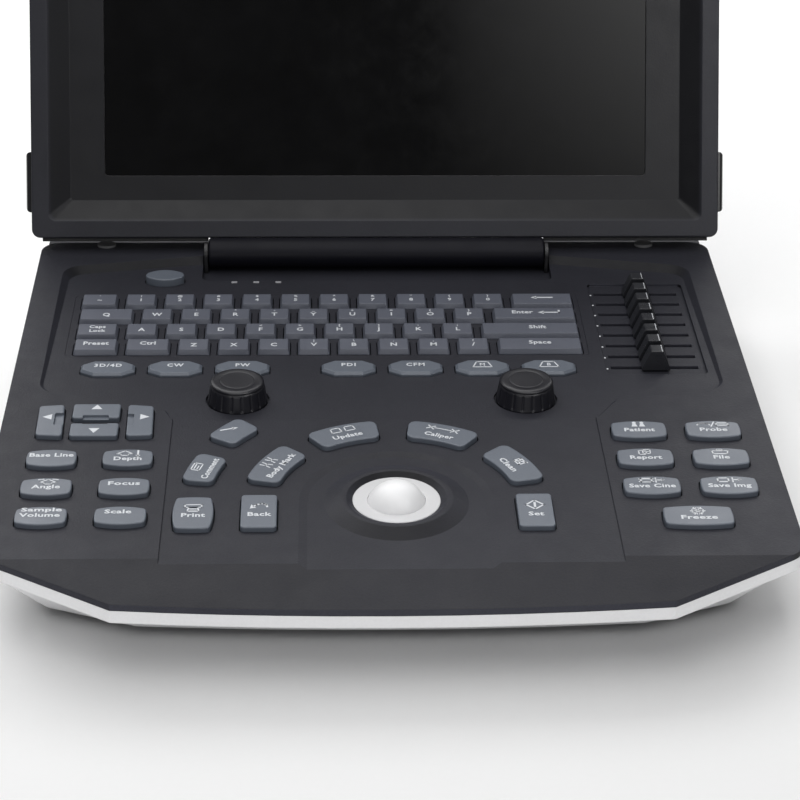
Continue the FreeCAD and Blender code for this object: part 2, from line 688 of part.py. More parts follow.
def control_keys():
    """Keys of the control panel and its two side islands."""
    for label, (outlines, rise, corner) in KEY_GROUPS.items():
        body = new_body(label)
        top = DECK + rise
        profile = sketch(body, label + "_outline", [outline(0.0) for outline in outlines], "Size.key_bottom")
        block_pad = pad(body, label + "_block", profile, f"Size.deck_top + {rise} - Size.key_bottom")
        sides = fillet(body, label + "_corners", block_pad, f"{corner}", upright) if corner else block_pad
        kind, reach = ("Chamfer", "1.3") if label == "mode_keys" else ("Fillet", "Size.key_round")
        fillet(body, label + "_edges", sides, reach,
               lambda edge, z=top: edge.BoundBox.ZLength < 1e-6 and abs(edge.BoundBox.ZMin - z) < 1e-6, kind)
        if label in SCOOPS:
            scoop(body, label, top)
        keep(label, body)


def keyboard_keys():
    """The four rows of the keyboard, each key a stem with a tapered cap."""
    depth = size("cap_depth")
    for label, edges in KEY_ROWS.items():
        y = ROW_Y[label]
        floor = well_floor(y) + 0.2
        body = new_body(label)
        stems = sketch(body, label + "_stems",
                       [rectangle((a + b) / 2, y, b - a, depth, 1.2) for a, b in edges], "Size.key_bottom")
        pad(body, label + "_stem_pad", stems, f"{floor} - Size.key_bottom")
        caps = sketch(body, label + "_caps",
                      [rectangle((a + b) / 2, y, b - a, depth, 1.2) for a, b in edges], f"{floor}")
        cap_pad = pad(body, label + "_cap_pad", caps, "Size.cap_rise")
        cap_pad.TaperAngle = -22.0
        keep(label, body)


def keyboard_frame():
    """The plate between the keyboard keys, level with the well's floor."""
    left, right = size("window_left") + 0.1, size("window_right") - 0.1
    front, rear = size("window_front") + 0.1, size("window_rear") - 0.1
    plate = column(rectangle((left + right) / 2, (front + rear) / 2, right - left, rear - front, 1.9),
                   DECK - 7.2, DECK).cut(above_well())
    gap = 2 * size("key_gap")
    depth = size("cap_depth") + gap
    holes = []
    for label, edges in KEY_ROWS.items():
        for a, b in edges:
            holes.append(column(rectangle((a + b) / 2, ROW_Y[label], b - a + gap, depth, 1.4), 20.0, 60.0))
    keep("keyboard_frame", shaped("Keyboard_frame", plate.cut(holes)))


# ---------------------------------------------------------------- knobs, ball, sliders

def knobs():
    """Two ribbed knobs on encoder shafts."""
    floor = well_floor(size("knob_y"))
    for label, x in KNOBS.items():
        low, top = floor - 0.9, floor + size("knob_height")
        skirt, crown = size("knob_radius"), size("knob_radius") - 1.7
        outline = [(3.05, low), (skirt, low), (skirt, low + 1.0), (crown, top - 0.9), (crown - 0.9, top),
                   (10.2, top), (9.9, top - 0.4), (0.0, top - 0.4), (0.0, top - 3.5), (3.05, top - 3.5)]
        body = new_body(label)
        section = rounded([(radius, z, 0.0) for radius, z in outline])
        profile = sketch(body, label + "_profile", [section], "0", "XZ_Plane")
        turned = revolution(body, label + "_turned", profile)
        circle = Part.Circle(Vector(skirt + 0.25, 0, 0), Vector(0, 0, 1), 0.75)
        flute = sketch(body, label + "_flute", [[circle]], f"{low + 1.2}")
        groove = body.newObject("PartDesign::Pocket", label + "_groove")
        groove.Profile = flute
        groove.Length = size("knob_height") - 2.0
        doc.recompute()
        if abs(groove.Shape.Volume - turned.Shape.Volume) < 0.01:
            groove.Reversed = True
        ring = body.newObject("PartDesign::PolarPattern", label + "_flutes")
        ring.Originals = [groove]
        ring.Axis = (profile, ["V_Axis"])
        ring.Angle = 360
        ring.Occurrences = 28
        body.Tip = ring
        keep(label, body)
        body.setExpression("Placement.Base.x", f"Size.{label}_x")
        body.setExpression("Placement.Base.y", "Size.console_y + Size.knob_y")


def encoders():
    """The rotary encoders below the knobs."""
    parts = []
    board = "Size.board_top"
    for label in KNOBS:
        x, y = f"Size.{label}_x", "Size.knob_y"
        parts.append(fuse(label + "_encoder", [block(label + "_case", "13", "13", "3.6", x, y, board),
                                               rod(label + "_shaft", "3", "14.2", x, y, board)]))
    keep("encoders", group("Encoders", parts))


BALL_Z = DECK + size("ring_level") + size("ball_rise") - size("ball_radius")


def trackball():
    """The ball, its white ring and the cup that carries it."""
    ball = doc.addObject("Part::Sphere", "Ball")
    bind(ball, {"Radius": "Size.ball_radius"})
    bind(ball, at("Size.ball_x", "Size.ball_y",
                  "Size.deck_top + Size.ring_level + Size.ball_rise - Size.ball_radius"))
    keep("trackball", group("Trackball", [ball]))
    top = DECK + size("ring_level")
    outer = size("ring_radius")
    ring = rounded([(14.5, top - 2.0, 0.0), (outer, top - 2.0, 0.0), (outer, top, 0.5), (13.5, top, 0.5)])
    cup_top = top - 2.05
    cavity = size("ball_radius") + 0.4
    open_half = math.sqrt(cavity ** 2 - (cup_top - BALL_Z) ** 2)
    low = BALL_Z - cavity - 2.6
    cup = [Part.LineSegment(Vector(0, low, 0), Vector(20.5, low, 0)),
           Part.LineSegment(Vector(20.5, low, 0), Vector(20.5, cup_top, 0)),
           Part.LineSegment(Vector(20.5, cup_top, 0), Vector(open_half, cup_top, 0)),
           Part.Arc(Vector(open_half, cup_top, 0), Vector(cavity, BALL_Z, 0), Vector(0, BALL_Z - cavity, 0)),
           Part.LineSegment(Vector(0, BALL_Z - cavity, 0), Vector(0, low, 0))]
    for label, outline in (("trackball_ring", ring), ("trackball_housing", cup)):
        body = new_body(label)
        profile = sketch(body, label + "_profile", [outline], "0", "XZ_Plane")
        revolution(body, label + "_turned", profile)
        keep(label, body)
        body.setExpression("Placement.Base.x", "Size.ball_x")
        body.setExpression("Placement.Base.y", "Size.console_y + Size.ball_y")


CAP_SHIFT = 1.2


def gain_controls():
    """Eight slide controls: caps on stems, each in its own slide resistor."""
    resistors = []
    x = size("gain_x")
    for i, y in enumerate(GAIN_ROWS):
        label = f"gain_slider_{i + 1}"
        low = well_floor(y) - 0.6
        body = new_body(label)
        high = well_floor(y) + size("gain_rise")
        cap = rounded([(x - 7.6, low, 0.4), (x + 7.6, low, 0.4), (x + 7.0, low + 2.2, 0.8),
                       (x + 3.2, high, 0.8), (x - 3.2, high, 0.8), (x - 7.0, low + 2.2, 0.8)])
        stem = rounded([(x - 2.0, 32.4, 0.0), (x + 2.0, 32.4, 0.0), (x + 2.0, low + 1.0, 0.0),
                        (x - 2.0, low + 1.0, 0.0)])
        for piece, outline, start, thick in (("cap", cap, CAP_SHIFT - size("gain_cap") / 2, size("gain_cap")),
                                             ("stem", stem, -0.9, 1.8)):
            profile = sketch(body, f"{label}_{piece}_outline", [outline], f"{-y + start}", "XZ_Plane")
            pad(body, f"{label}_{piece}", profile, f"{thick}")
        keep(label, body)
        case = block(f"Resistor_case{i}", "54", "9.6", "3.6", "Size.gain_x", f"{y}", "Size.board_top")
        channel = block(f"Resistor_channel{i}", "Size.gain_slot", "2.6", "3", "Size.gain_x", f"{y}",
                        "Size.board_top + 1")
        resistors.append(cut(f"Resistor{i}", case, [channel]))
    keep("slide_resistors", group("Slide_resistors", resistors))


# ---------------------------------------------------------------- inside the console

def inner_parts():
    """Boards, cooling, sockets and speakers."""
    board = fuse("Keypad_board_plate", [
        block("Keypad_board_main", "344", "270", "1.6", "0", "-3", "Size.board_top - 1.6"),
        block("Keypad_board_tongue", "50", "24", "1.6", "-124", "142", "Size.board_top - 1.6")])
    holes = [rod(f"Keypad_board_hole{i}", "4.2", "6", f"{x}", f"{y}", "27")
             for i, (x, y) in enumerate(SCREWS)]
    holes.append(rod("Keypad_board_ball_hole", "21", "6", "Size.ball_x", "Size.ball_y", "27"))
    keep("keypad_board", cut("Keypad_board", board, holes))

    main = block("Main_board_plate", "138", "176", "1.6", "84", "0", "8")
    posts = [rod(f"Main_board_post{i}", "3", "5.5", f"{x}", f"{y}", "2.5")
             for i, (x, y) in enumerate([(22, -80), (146, -80), (22, 80), (146, 80)])]
    chips = [block(f"Main_board_chip{i}", f"{w}", f"{d}", "2.4", f"{x}", f"{y}", "9.6")
             for i, (x, y, w, d) in enumerate([(60, 20, 34, 34), (112, 40, 24, 24), (112, -10, 20, 14),
                                               (50, -55, 16, 26), (80, -55, 16, 26), (120, -60, 28, 12)])]
    keep("main_board", fuse("Main_board", [main] + posts + chips))
    base = block("Heat_sink_base", "60", "50", "3", "60", "20", "12")
    fins = [block(f"Heat_sink_fin{i}", "60", "1.4", "11", "60", f"{-2.6 + 5.02 * i}", "15")
            for i in range(10)]
    keep("heat_sink", fuse("Heat_sink", [base] + fins))

    frame = new_body("Fan_frame")
    outer = sketch(frame, "Fan_outline", [rectangle(-100, 100, 60, 60, 4)], "2.6")
    pad(frame, "Fan_case", outer, "15")
    keep("fan_frame", cut("Fan_frame_bored", frame, [
        rod("Fan_mouth", "27.5", "14", "-100", "100", "4.6"),
        rod("Fan_inlet", "22", "4", "-100", "100", "1")]))
    blades = disc(0, 0, 10.0, 0.0, 11.0)
    for i in range(7):
        blade = Part.makeBox(17.5, 1.6, 8.5, Vector(8.5, -0.8, 0))
        blade.rotate(Vector(0, 0, 0), Vector(1, 0, 0), 28.0)
        blade.translate(Vector(0, 1.5, 1.6))
        blade.rotate(Vector(0, 0, 0), Vector(0, 0, 1), 360.0 / 7 * i)
        blades = blades.fuse(blade)
    rotor = shaped("Fan_rotor", blades.removeSplitter())
    keep("fan_rotor", rotor)
    rotor.Placement.Base.x = -100.0
    rotor.setExpression("Placement.Base.y", "Size.console_y + 100")
    rotor.setExpression("Placement.Base.z", "Size.foot_height + 5.2")

    x, width, height = IO_PANEL
    plate = block("Io_plate", f"{width - 0.6}", "2.4", f"{height - 0.6}", f"{x}",
                  f"{REAR_WALL - 1.3}", f"{PANEL_Z - height / 2 + 0.3}")
    ports = [rod("Power_inlet", "4.5", "8", f"{x - 48}", f"{REAR_WALL - 4}", f"{PANEL_Z}", "Y")]
    sockets = [(-32, 13, 6), (-14, 13, 6), (8, 31, 9), (34, 16, 12), (51, 9, 9)]
    for i, (offset, wide, high) in enumerate(sockets):
        ports.append(block(f"Port{i}", f"{wide}", "8", f"{high}", f"{x + offset}", f"{REAR_WALL}",
                           f"{PANEL_Z - high / 2}"))
    keep("rear_io_panel", cut("Rear_io_panel", plate, ports))
    sockets = []
    width, height = SOCKET_SIZE
    for i, x in enumerate(SOCKETS):
        case = block(f"Socket_case{i}", f"{width - 0.6}", "20", f"{height - 0.6}", f"{x}",
                     f"{REAR_WALL - 8.5}", f"{PANEL_Z - height / 2 + 0.3}")
        recess = block(f"Socket_recess{i}", f"{width - 8}", "8", f"{height - 6}", f"{x}",
                       f"{REAR_WALL - 0.5}", f"{PANEL_Z - height / 2 + 3}")
        tongue = block(f"Socket_tongue{i}", f"{width - 20}", "12", "4", f"{x}",
                       f"{REAR_WALL - 7.5}", f"{PANEL_Z - 2}")
        sockets.append(fuse(f"Socket{i}", [cut(f"Socket_shell{i}", case, [recess]), tongue]))
    keep("probe_sockets", group("Probe_sockets", sockets))
    speakers = []
    for side, x in (("left", -100), ("right", 100)):
        cone = rod(f"Speaker_{side}_basket", "16", "4", f"{x}", "-128", "2.6")
        magnet = rod(f"Speaker_{side}_magnet", "8", "6", f"{x}", "-128", "6.6")
        speakers.append(fuse(f"Speaker_{side}", [cone, magnet]))
    keep("speakers", group("Speakers", speakers))
    lights = [block(f"Light{i}", "3.2", "2.1", "4", f"{x}", "137.2",
                    f"{well_floor(137.2) - 3.8}") for i, x in enumerate(LEDS)]
    keep("status_lights", group("Status_lights", lights))
    pads = new_body("Lid_stop_pads")
    profile = sketch(pads, "Pad_outline", [oval(x, 178.0, 10.5, 7.5) for x in (-154.5, 154.5)],
                     "Size.deck_top")
    pad(pads, "Pad_block", profile, "Size.hinge_z - Size.deck_top - 0.1")
    keep("lid_stop_pads", pads)


# ---------------------------------------------------------------- display lid

LID_LOW = size("lid_bottom")
LID_MID = LID_LOW + size("lid_height") / 2
LCD_MID = LID_LOW + size("lcd_foot") + size("lcd_y") / 2
KNUCKLE_X = 87.0
LID_SCREWS = [(x, LID_LOW + y) for y in (6.5, 303.5) for x in (-150.0, 0.0, 150.0)]


def lid_outline(inset, corner=5.0):
    return rectangle(0, LID_MID, size("lid_width") - 2 * inset, size("lid_height") - 2 * inset,
                     max(corner - inset, 0.5))


def lid_bezel():
    """The dark front frame: a flat rim, a slope and a flat field around the screen."""
    thick, rim = size("bezel_thick"), size("rim")
    frame = column(lid_outline(0.0), -thick, 0.0)
    front_edges = [edge for edge in frame.Edges if edge.BoundBox.ZMin > -1e-6]
    frame = frame.makeFillet(size("bezel_round"), front_edges)
    slope = funnel(lid_outline(rim, rim + 4.0), lid_outline(rim + 12.0, rim + 14.0), 0.02, -8.0)
    opening = column(rectangle(0, LCD_MID, size("lcd_x"), size("lcd_y"), 2.5), -20.0, 5.0)
    channel = column(lid_outline(2.6), -thick - 1.0, -2.5).cut(column(lid_outline(rim + 0.5), -20.0, 0.0))
    tools = [slope, opening, channel]
    for side in (-1, 1):
        tools.append(brick(side * KNUCKLE_X, LID_LOW, 15.0, 10.0, -5.4, -2.6))
    bosses = [disc(x, y, 2.6, -thick, -2.0).cut(disc(x, y, 1.2, -12.0, -3.0)) for x, y in LID_SCREWS]
    shell = frame.cut(tools).fuse(bosses)
    keep_lid("lid_bezel", shaped("Lid_bezel", shell))


def lid_back_cover():
    """The pale back shell of the lid, with its outer edge rounded."""
    front, back = -size("bezel_thick") - 0.1, -size("lid_thick")
    block_solid = column(lid_outline(0.0), back, front)
    rim = [edge for edge in block_solid.Edges
           if edge.BoundBox.ZLength < 1e-6 and abs(edge.BoundBox.ZMin - back) < 1e-6]
    shell = block_solid.makeFillet(4.5, rim).cut(column(lid_outline(2.4), back + 2.4, front + 1.0))
    shell = shell.fuse([disc(x, y, 3.6, back + 1.0, front) for x, y in LID_SCREWS])
    tools = [disc(x, y, 1.4, back - 1.0, front + 1.0) for x, y in LID_SCREWS]
    tools += [disc(x, y, 2.7, back - 1.0, back + 2.4) for x, y in LID_SCREWS]
    for i in range(12):
        tools.append(column(rectangle(0, LID_LOW + 36.0 + 4.4 * i, 84.0, 1.8, 0.8), back - 1.0, back + 3.0))
    keep_lid("lid_back_cover", shaped("Lid_back_cover", shell.cut(tools)))


def lid_contents():
    """Screen, boards, screws and bumpers of the lid."""
    glass = new_body("Screen_glass")
    profile = sketch(glass, "Glass_outline",
                     [rectangle(0, LCD_MID, size("lcd_x") - 0.3, size("lcd_y") - 0.3, 2.3)], "-10")
    pad(glass, "Glass_sheet", profile, "1")
    keep_lid("screen_glass", glass)
    panel = block("Lcd_cell", "Size.lcd_x + 16", "Size.lcd_y + 18", "7", "0", f"{LCD_MID}", "-17.1")
    ears = [block(f"Lcd_ear{i}", "9", "14", "1.5", f"{x}", f"{LCD_MID + y}", "-17.1")
            for i, (x, y) in enumerate([(-167, -80), (167, -80), (-167, 80), (167, 80)])]
    keep_lid("lcd_panel", fuse("Lcd_panel", [panel] + ears))
    y = LID_LOW + 18.4
    board = block("Display_board_plate", "150", "14", "1.6", "0", f"{y}", "-17")
    chips = [block(f"Display_board_chip{i}", f"{wide}", "9", "3", f"{x}", f"{y}", "-15.4")
             for i, (x, wide) in enumerate([(-50, 26), (-8, 14), (20, 14), (56, 20)])]
    keep_lid("display_board", fuse("Display_board", [board] + chips))
    screws = []
    for i, (x, y) in enumerate(LID_SCREWS):
        head = rod(f"Lid_screw_head{i}", "2.4", "1.6", f"{x}", f"{y}", "-21.2")
        shank = rod(f"Lid_screw_shank{i}", "1.1", "15", f"{x}", f"{y}", "-19.6")
        driver = rod(f"Lid_screw_socket{i}", "0.9", "1", f"{x}", f"{y}", "-21.2")
        screws.append(cut(f"Lid_screw{i}", fuse(f"Lid_screw_body{i}", [head, shank]), [driver]))
    keep_lid("lid_screws", group("Lid_screws", screws))
    corner_x, corner_y = size("lid_width") / 2 - 6.0, size("lid_height") + LID_LOW - 6.0
    buffers = [rod(f"Lid_buffer{i}", "2.6", "1.1", f"{x}", f"{corner_y}", "0")
               for i, x in enumerate((-corner_x, corner_x))]
    keep_lid("lid_buffers", group("Lid_buffers", buffers))
    tabs = new_body("Side_bumpers")
    outlines = []
    for side in (-1, 1):
        x = side * (size("lid_width") / 2 + 1.6)
        outlines.append(rectangle(x, LID_LOW + 31.6, 3.2, 34.2))
    profile = sketch(tabs, "Tab_outline", outlines, "-20")
    block_pad = pad(tabs, "Tab_block", profile, "18")
    outside = size("lid_width") / 2 + 3.0
    fillet(tabs, "Tab_corners", block_pad, "2.8",
           lambda edge: abs(edge.BoundBox.XMin) > outside and edge.BoundBox.XLength < 1e-6)
    keep_lid("side_bumpers", tabs)


def hinge():
    """The hinge: brackets on the console, brackets in the lid and the round cover."""
    radius, half = size("barrel_radius"), size("barrel_half")
    wall = 1.8

    def along_x(r, x, length, y=0.0, z=0.0):
        return Part.makeCylinder(r, length, Vector(x, y, z), Vector(1, 0, 0))
    barrel = along_x(radius, -half, 2 * half)
    ends = [edge for edge in barrel.Edges if edge.BoundBox.XLength < 1e-6]
    barrel = barrel.makeFillet(1.4, ends)
    neck = Part.makeBox(2 * half - 8.0, LID_LOW - 0.05, 7.9, Vector(-half + 4.0, 0, -8.0))
    bore = along_x(radius - wall, -half - 1.0, 2 * half + 2.0)
    cover = barrel.fuse(neck).cut(bore)
    slots = [brick(side * KNUCKLE_X, 6.0, 15.0, 8.0, -5.4, -2.6) for side in (-1, 1)]
    keep_lid("hinge_cover", shaped("Hinge_cover", cover.cut(slots)))
    leaves = []
    for side in (-1, 1):
        x = side * KNUCKLE_X
        knuckle = along_x(5.0, x - 7.0, 14.0)
        leaf = [brick(x, 6.5, 14.0, 15.0, -5.0, -3.0), brick(x, 13.0, 14.0, 2.0, -13.9, -3.0),
                brick(x, 21.5, 14.0, 19.0, -13.9, -11.9)]
        bore = along_x(size("pin_radius") + 0.04, x - 10.0, 20.0)
        leaves.append(knuckle.fuse(leaf).cut(bore).removeSplitter())
    keep_lid("hinge_lid_brackets", shaped("Hinge_lid_brackets", Part.makeCompound(leaves)))
    arms = []
    y, z = size("hinge_y"), size("hinge_z")
    for side in (-1, 1):
        inner = side * ARM_X - 1.0
        arm = brick(side * ARM_X, y, 2.0, ARM_WIDTH, 29.0, z).fuse(along_x(ARM_WIDTH / 2, inner, 2.0, y, z))
        foot = brick(side * (ARM_X - 9.0), y, 20.0, 26.0, 28.9, 30.9)
        start = side * ARM_X if side < 0 else side * ARM_X - 17.5
        pin = along_x(size("pin_radius"), start, 17.5, y, z)
        arms.append(arm.fuse([foot, pin]).removeSplitter())
    keep("hinge_base_brackets", shaped("Hinge_base_brackets", Part.makeCompound(arms)))


# ---------------------------------------------------------------- the machine

top_deck()
bottom_housing()
housing_details()
control_keys()
keyboard_keys()
keyboard_frame()
knobs()
encoders()
trackball()
gain_controls()
inner_parts()
lid_bezel()
lid_back_cover()
lid_contents()
hinge()
doc.recompute()

for obj in doc.Objects:
    states = " ".join(obj.State)
    if "Invalid" in states or "Error" in states:
        raise RuntimeError(f"{obj.Name} did not rebuild: {states}")
for label, obj in nodes.items():
    if obj.Shape.isNull() or not obj.Shape.isValid():
        raise RuntimeError(f"{label} has no valid shape")

os.makedirs("parts", exist_ok=True)
for label, obj in nodes.items():
    obj.Shape.exportStep(f"parts/{label}.step")
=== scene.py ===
import json
import math

import bmesh
import bpy
from mathutils import Matrix, Vector

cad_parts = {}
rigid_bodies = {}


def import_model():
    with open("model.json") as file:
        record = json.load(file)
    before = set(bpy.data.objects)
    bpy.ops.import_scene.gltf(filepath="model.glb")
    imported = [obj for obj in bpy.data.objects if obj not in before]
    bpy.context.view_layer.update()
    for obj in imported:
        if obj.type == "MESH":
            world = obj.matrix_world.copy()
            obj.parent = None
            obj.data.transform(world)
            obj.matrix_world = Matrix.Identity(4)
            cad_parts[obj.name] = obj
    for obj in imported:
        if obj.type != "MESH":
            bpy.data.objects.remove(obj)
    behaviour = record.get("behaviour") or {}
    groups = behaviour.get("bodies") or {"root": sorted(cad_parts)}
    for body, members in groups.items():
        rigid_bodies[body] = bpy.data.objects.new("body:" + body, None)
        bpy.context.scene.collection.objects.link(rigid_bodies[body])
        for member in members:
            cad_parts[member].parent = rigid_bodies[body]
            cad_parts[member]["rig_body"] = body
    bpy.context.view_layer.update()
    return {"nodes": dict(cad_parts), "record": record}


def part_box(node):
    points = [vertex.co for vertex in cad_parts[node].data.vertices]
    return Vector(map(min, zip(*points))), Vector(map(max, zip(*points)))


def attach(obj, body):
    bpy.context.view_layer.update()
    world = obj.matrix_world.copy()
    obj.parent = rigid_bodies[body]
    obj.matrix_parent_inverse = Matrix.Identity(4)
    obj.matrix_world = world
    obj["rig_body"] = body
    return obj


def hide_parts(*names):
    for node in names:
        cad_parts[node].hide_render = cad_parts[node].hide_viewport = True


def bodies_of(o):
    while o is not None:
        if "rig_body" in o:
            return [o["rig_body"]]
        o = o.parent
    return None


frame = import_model()
nodes = frame["nodes"]
body_of = {node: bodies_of(piece)[0] for node, piece in nodes.items()}
MM = 0.001
LEAN = math.radians(25.2)                  # how far the open lid leans back
HINGE = Vector((0.0, 0.099995, 0.0475))    # middle of the lid's axis
LID_UP = Vector((0, math.sin(LEAN), math.cos(LEAN)))
LID_BACK = Vector((0, math.cos(LEAN), -math.sin(LEAN)))
GLASS_DEPTH = 9                            # mm from the lid's front face to the glass
INK = 0.05 * MM                            # thickness of the printed legends
WORLD, OVERHEAD, REAR, RIGHT, FRONT = 0.15, 36, 46, 2, 6    # strengths of the lights


# ---------------------------------------------------------------- materials

def plastic(name, color, rough, grain=700.0, bump=0.05, mottle=0.08, wear_and_highlight=0.25, edge=0.6, coat=0.0,
            metal=0.0, specular=0.5, streak=0.0, painted_recess_shade=0.0, painted_slope_shading=False):
    """A moulded surface: grain, soft random tone, uneven gloss, paler edges from rubbing and a painted
    highlight, and optional painted shade and light.

    grain is the scale of the fine texture, edge the width of a paler edge in mm, streak the drawing-out of
    the texture across X, recess the strength of the painted shade behind the lid's front face, and slopes
    paints shade on forward-facing faces and light on rear-facing and steep front faces.
    """
    mat = bpy.data.materials.new(name)
    mat.use_nodes = True
    tree = mat.node_tree
    link = tree.links.new
    shader = tree.nodes["Principled BSDF"]
    shader.inputs["Metallic"].default_value = metal
    shader.inputs["Coat Weight"].default_value = coat
    shader.inputs["Coat Roughness"].default_value = 0.12
    shader.inputs["Specular IOR Level"].default_value = specular

    def node(kind, **inputs):
        made = tree.nodes.new(kind)
        for key, value in inputs.items():
            made.inputs[key.replace("_", " ")].default_value = value
        return made

    def math_node(operation, first, second):
        made = tree.nodes.new("ShaderNodeMath")
        made.operation = operation
        for i, value in enumerate((first, second)):
            if isinstance(value, (int, float)):
                made.inputs[i].default_value = value
            else:
                link(value, made.inputs[i])
        return made.outputs[0]

    def ranged(value, low, high, to_low, to_high):
        made = tree.nodes.new("ShaderNodeMapRange")
        for i, number in enumerate((low, high, to_low, to_high), start=1):
            made.inputs[i].default_value = number
        link(value, made.inputs[0])
        return made.outputs[0]

    where = tree.nodes.new("ShaderNodeTexCoord").outputs["Object"]
    if streak:
        stretch = tree.nodes.new("ShaderNodeMapping")
        stretch.inputs["Scale"].default_value = (1.0, streak, streak)
        link(where, stretch.inputs["Vector"])
        where = stretch.outputs[0]
    fine = node("ShaderNodeTexNoise", Scale=grain, Detail=3.0, Roughness=0.6)
    broad = node("ShaderNodeTexNoise", Scale=14.0, Detail=4.0, Roughness=0.55)
    smudge = node("ShaderNodeTexNoise", Scale=70.0, Detail=3.0, Roughness=0.6)
    for texture in (fine, broad, smudge):
        link(where, texture.inputs["Vector"])

    bevel = node("ShaderNodeBevel", Radius=edge * MM)
    bevel.samples = 4
    normal = tree.nodes.new("ShaderNodeNewGeometry").outputs["Normal"]
    facing = tree.nodes.new("ShaderNodeVectorMath")
    facing.operation = "DOT_PRODUCT"
    link(bevel.outputs[0], facing.inputs[0])
    link(normal, facing.inputs[1])
    edge_mask = ranged(facing.outputs["Value"], 0.995, 0.80, 0.0, 1.0)
    # Paler edges: partly rubbing, partly a painted highlight along the edges.
    worn_and_highlit = math_node("MULTIPLY", edge_mask, ranged(smudge.outputs["Fac"], 0.42, 0.62, 0.25, 1.0))

    tone_and_painted_light = math_node("ADD", ranged(broad.outputs["Fac"], 0.3, 0.7, 1.0 - mottle, 1.0 + mottle),
                      ranged(fine.outputs["Fac"], 0.3, 0.7, -mottle, mottle))
    tone_and_painted_light = math_node("ADD", tone_and_painted_light, math_node("MULTIPLY", worn_and_highlit, wear_and_highlight))
    # Painted shade: surfaces behind the lid's front face are darkened, fully from 1.2 mm deep.
    if painted_recess_shade:
        depth = tree.nodes.new("ShaderNodeVectorMath")
        depth.operation = "DOT_PRODUCT"
        link(tree.nodes.new("ShaderNodeTexCoord").outputs["Object"], depth.inputs[0])
        depth.inputs[1].default_value = LID_BACK
        start = HINGE.dot(LID_BACK)
        shade = ranged(depth.outputs["Value"], start + 0.3 * MM, start + 1.2 * MM, 1.0, painted_recess_shade)
        tone_and_painted_light = math_node("MULTIPLY", tone_and_painted_light, shade)
    # Painted light and shade by facing: forward-facing surfaces darker, rear-facing ones lighter, steep front
    # faces lighter again as a painted edge highlight.
    if painted_slope_shading:
        split = tree.nodes.new("ShaderNodeSeparateXYZ")
        link(normal, split.inputs[0])
        for low, high, to_low, to_high in ((-0.45, -0.05, 0.30, 1.0), (0.05, 0.40, 1.0, 1.5),
                                           (-0.95, -0.75, 6.0, 1.0)):
            tone_and_painted_light = math_node("MULTIPLY", tone_and_painted_light, ranged(split.outputs["Y"], low, high, to_low, to_high))
    # the base colour: random tone, paler edges (rubbing and painted highlight), and any painted shade and
    # light
    tint = tree.nodes.new("ShaderNodeVectorMath")
    tint.operation = "SCALE"
    tint.inputs[0].default_value = color
    link(tone_and_painted_light, tint.inputs["Scale"])
    link(tint.outputs[0], shader.inputs["Base Color"])
    gloss = math_node("ADD", ranged(smudge.outputs["Fac"], 0.3, 0.7, rough - 0.05, rough + 0.05),
                      math_node("MULTIPLY", worn_and_highlit, -0.08))
    link(gloss, shader.inputs["Roughness"])
    relief = node("ShaderNodeBump", Strength=bump, Distance=0.4 * MM)
    link(fine.outputs["Fac"], relief.inputs["Height"])
    link(bevel.outputs[0], relief.inputs["Normal"])
    link(relief.outputs[0], shader.inputs["Normal"])
    return mat


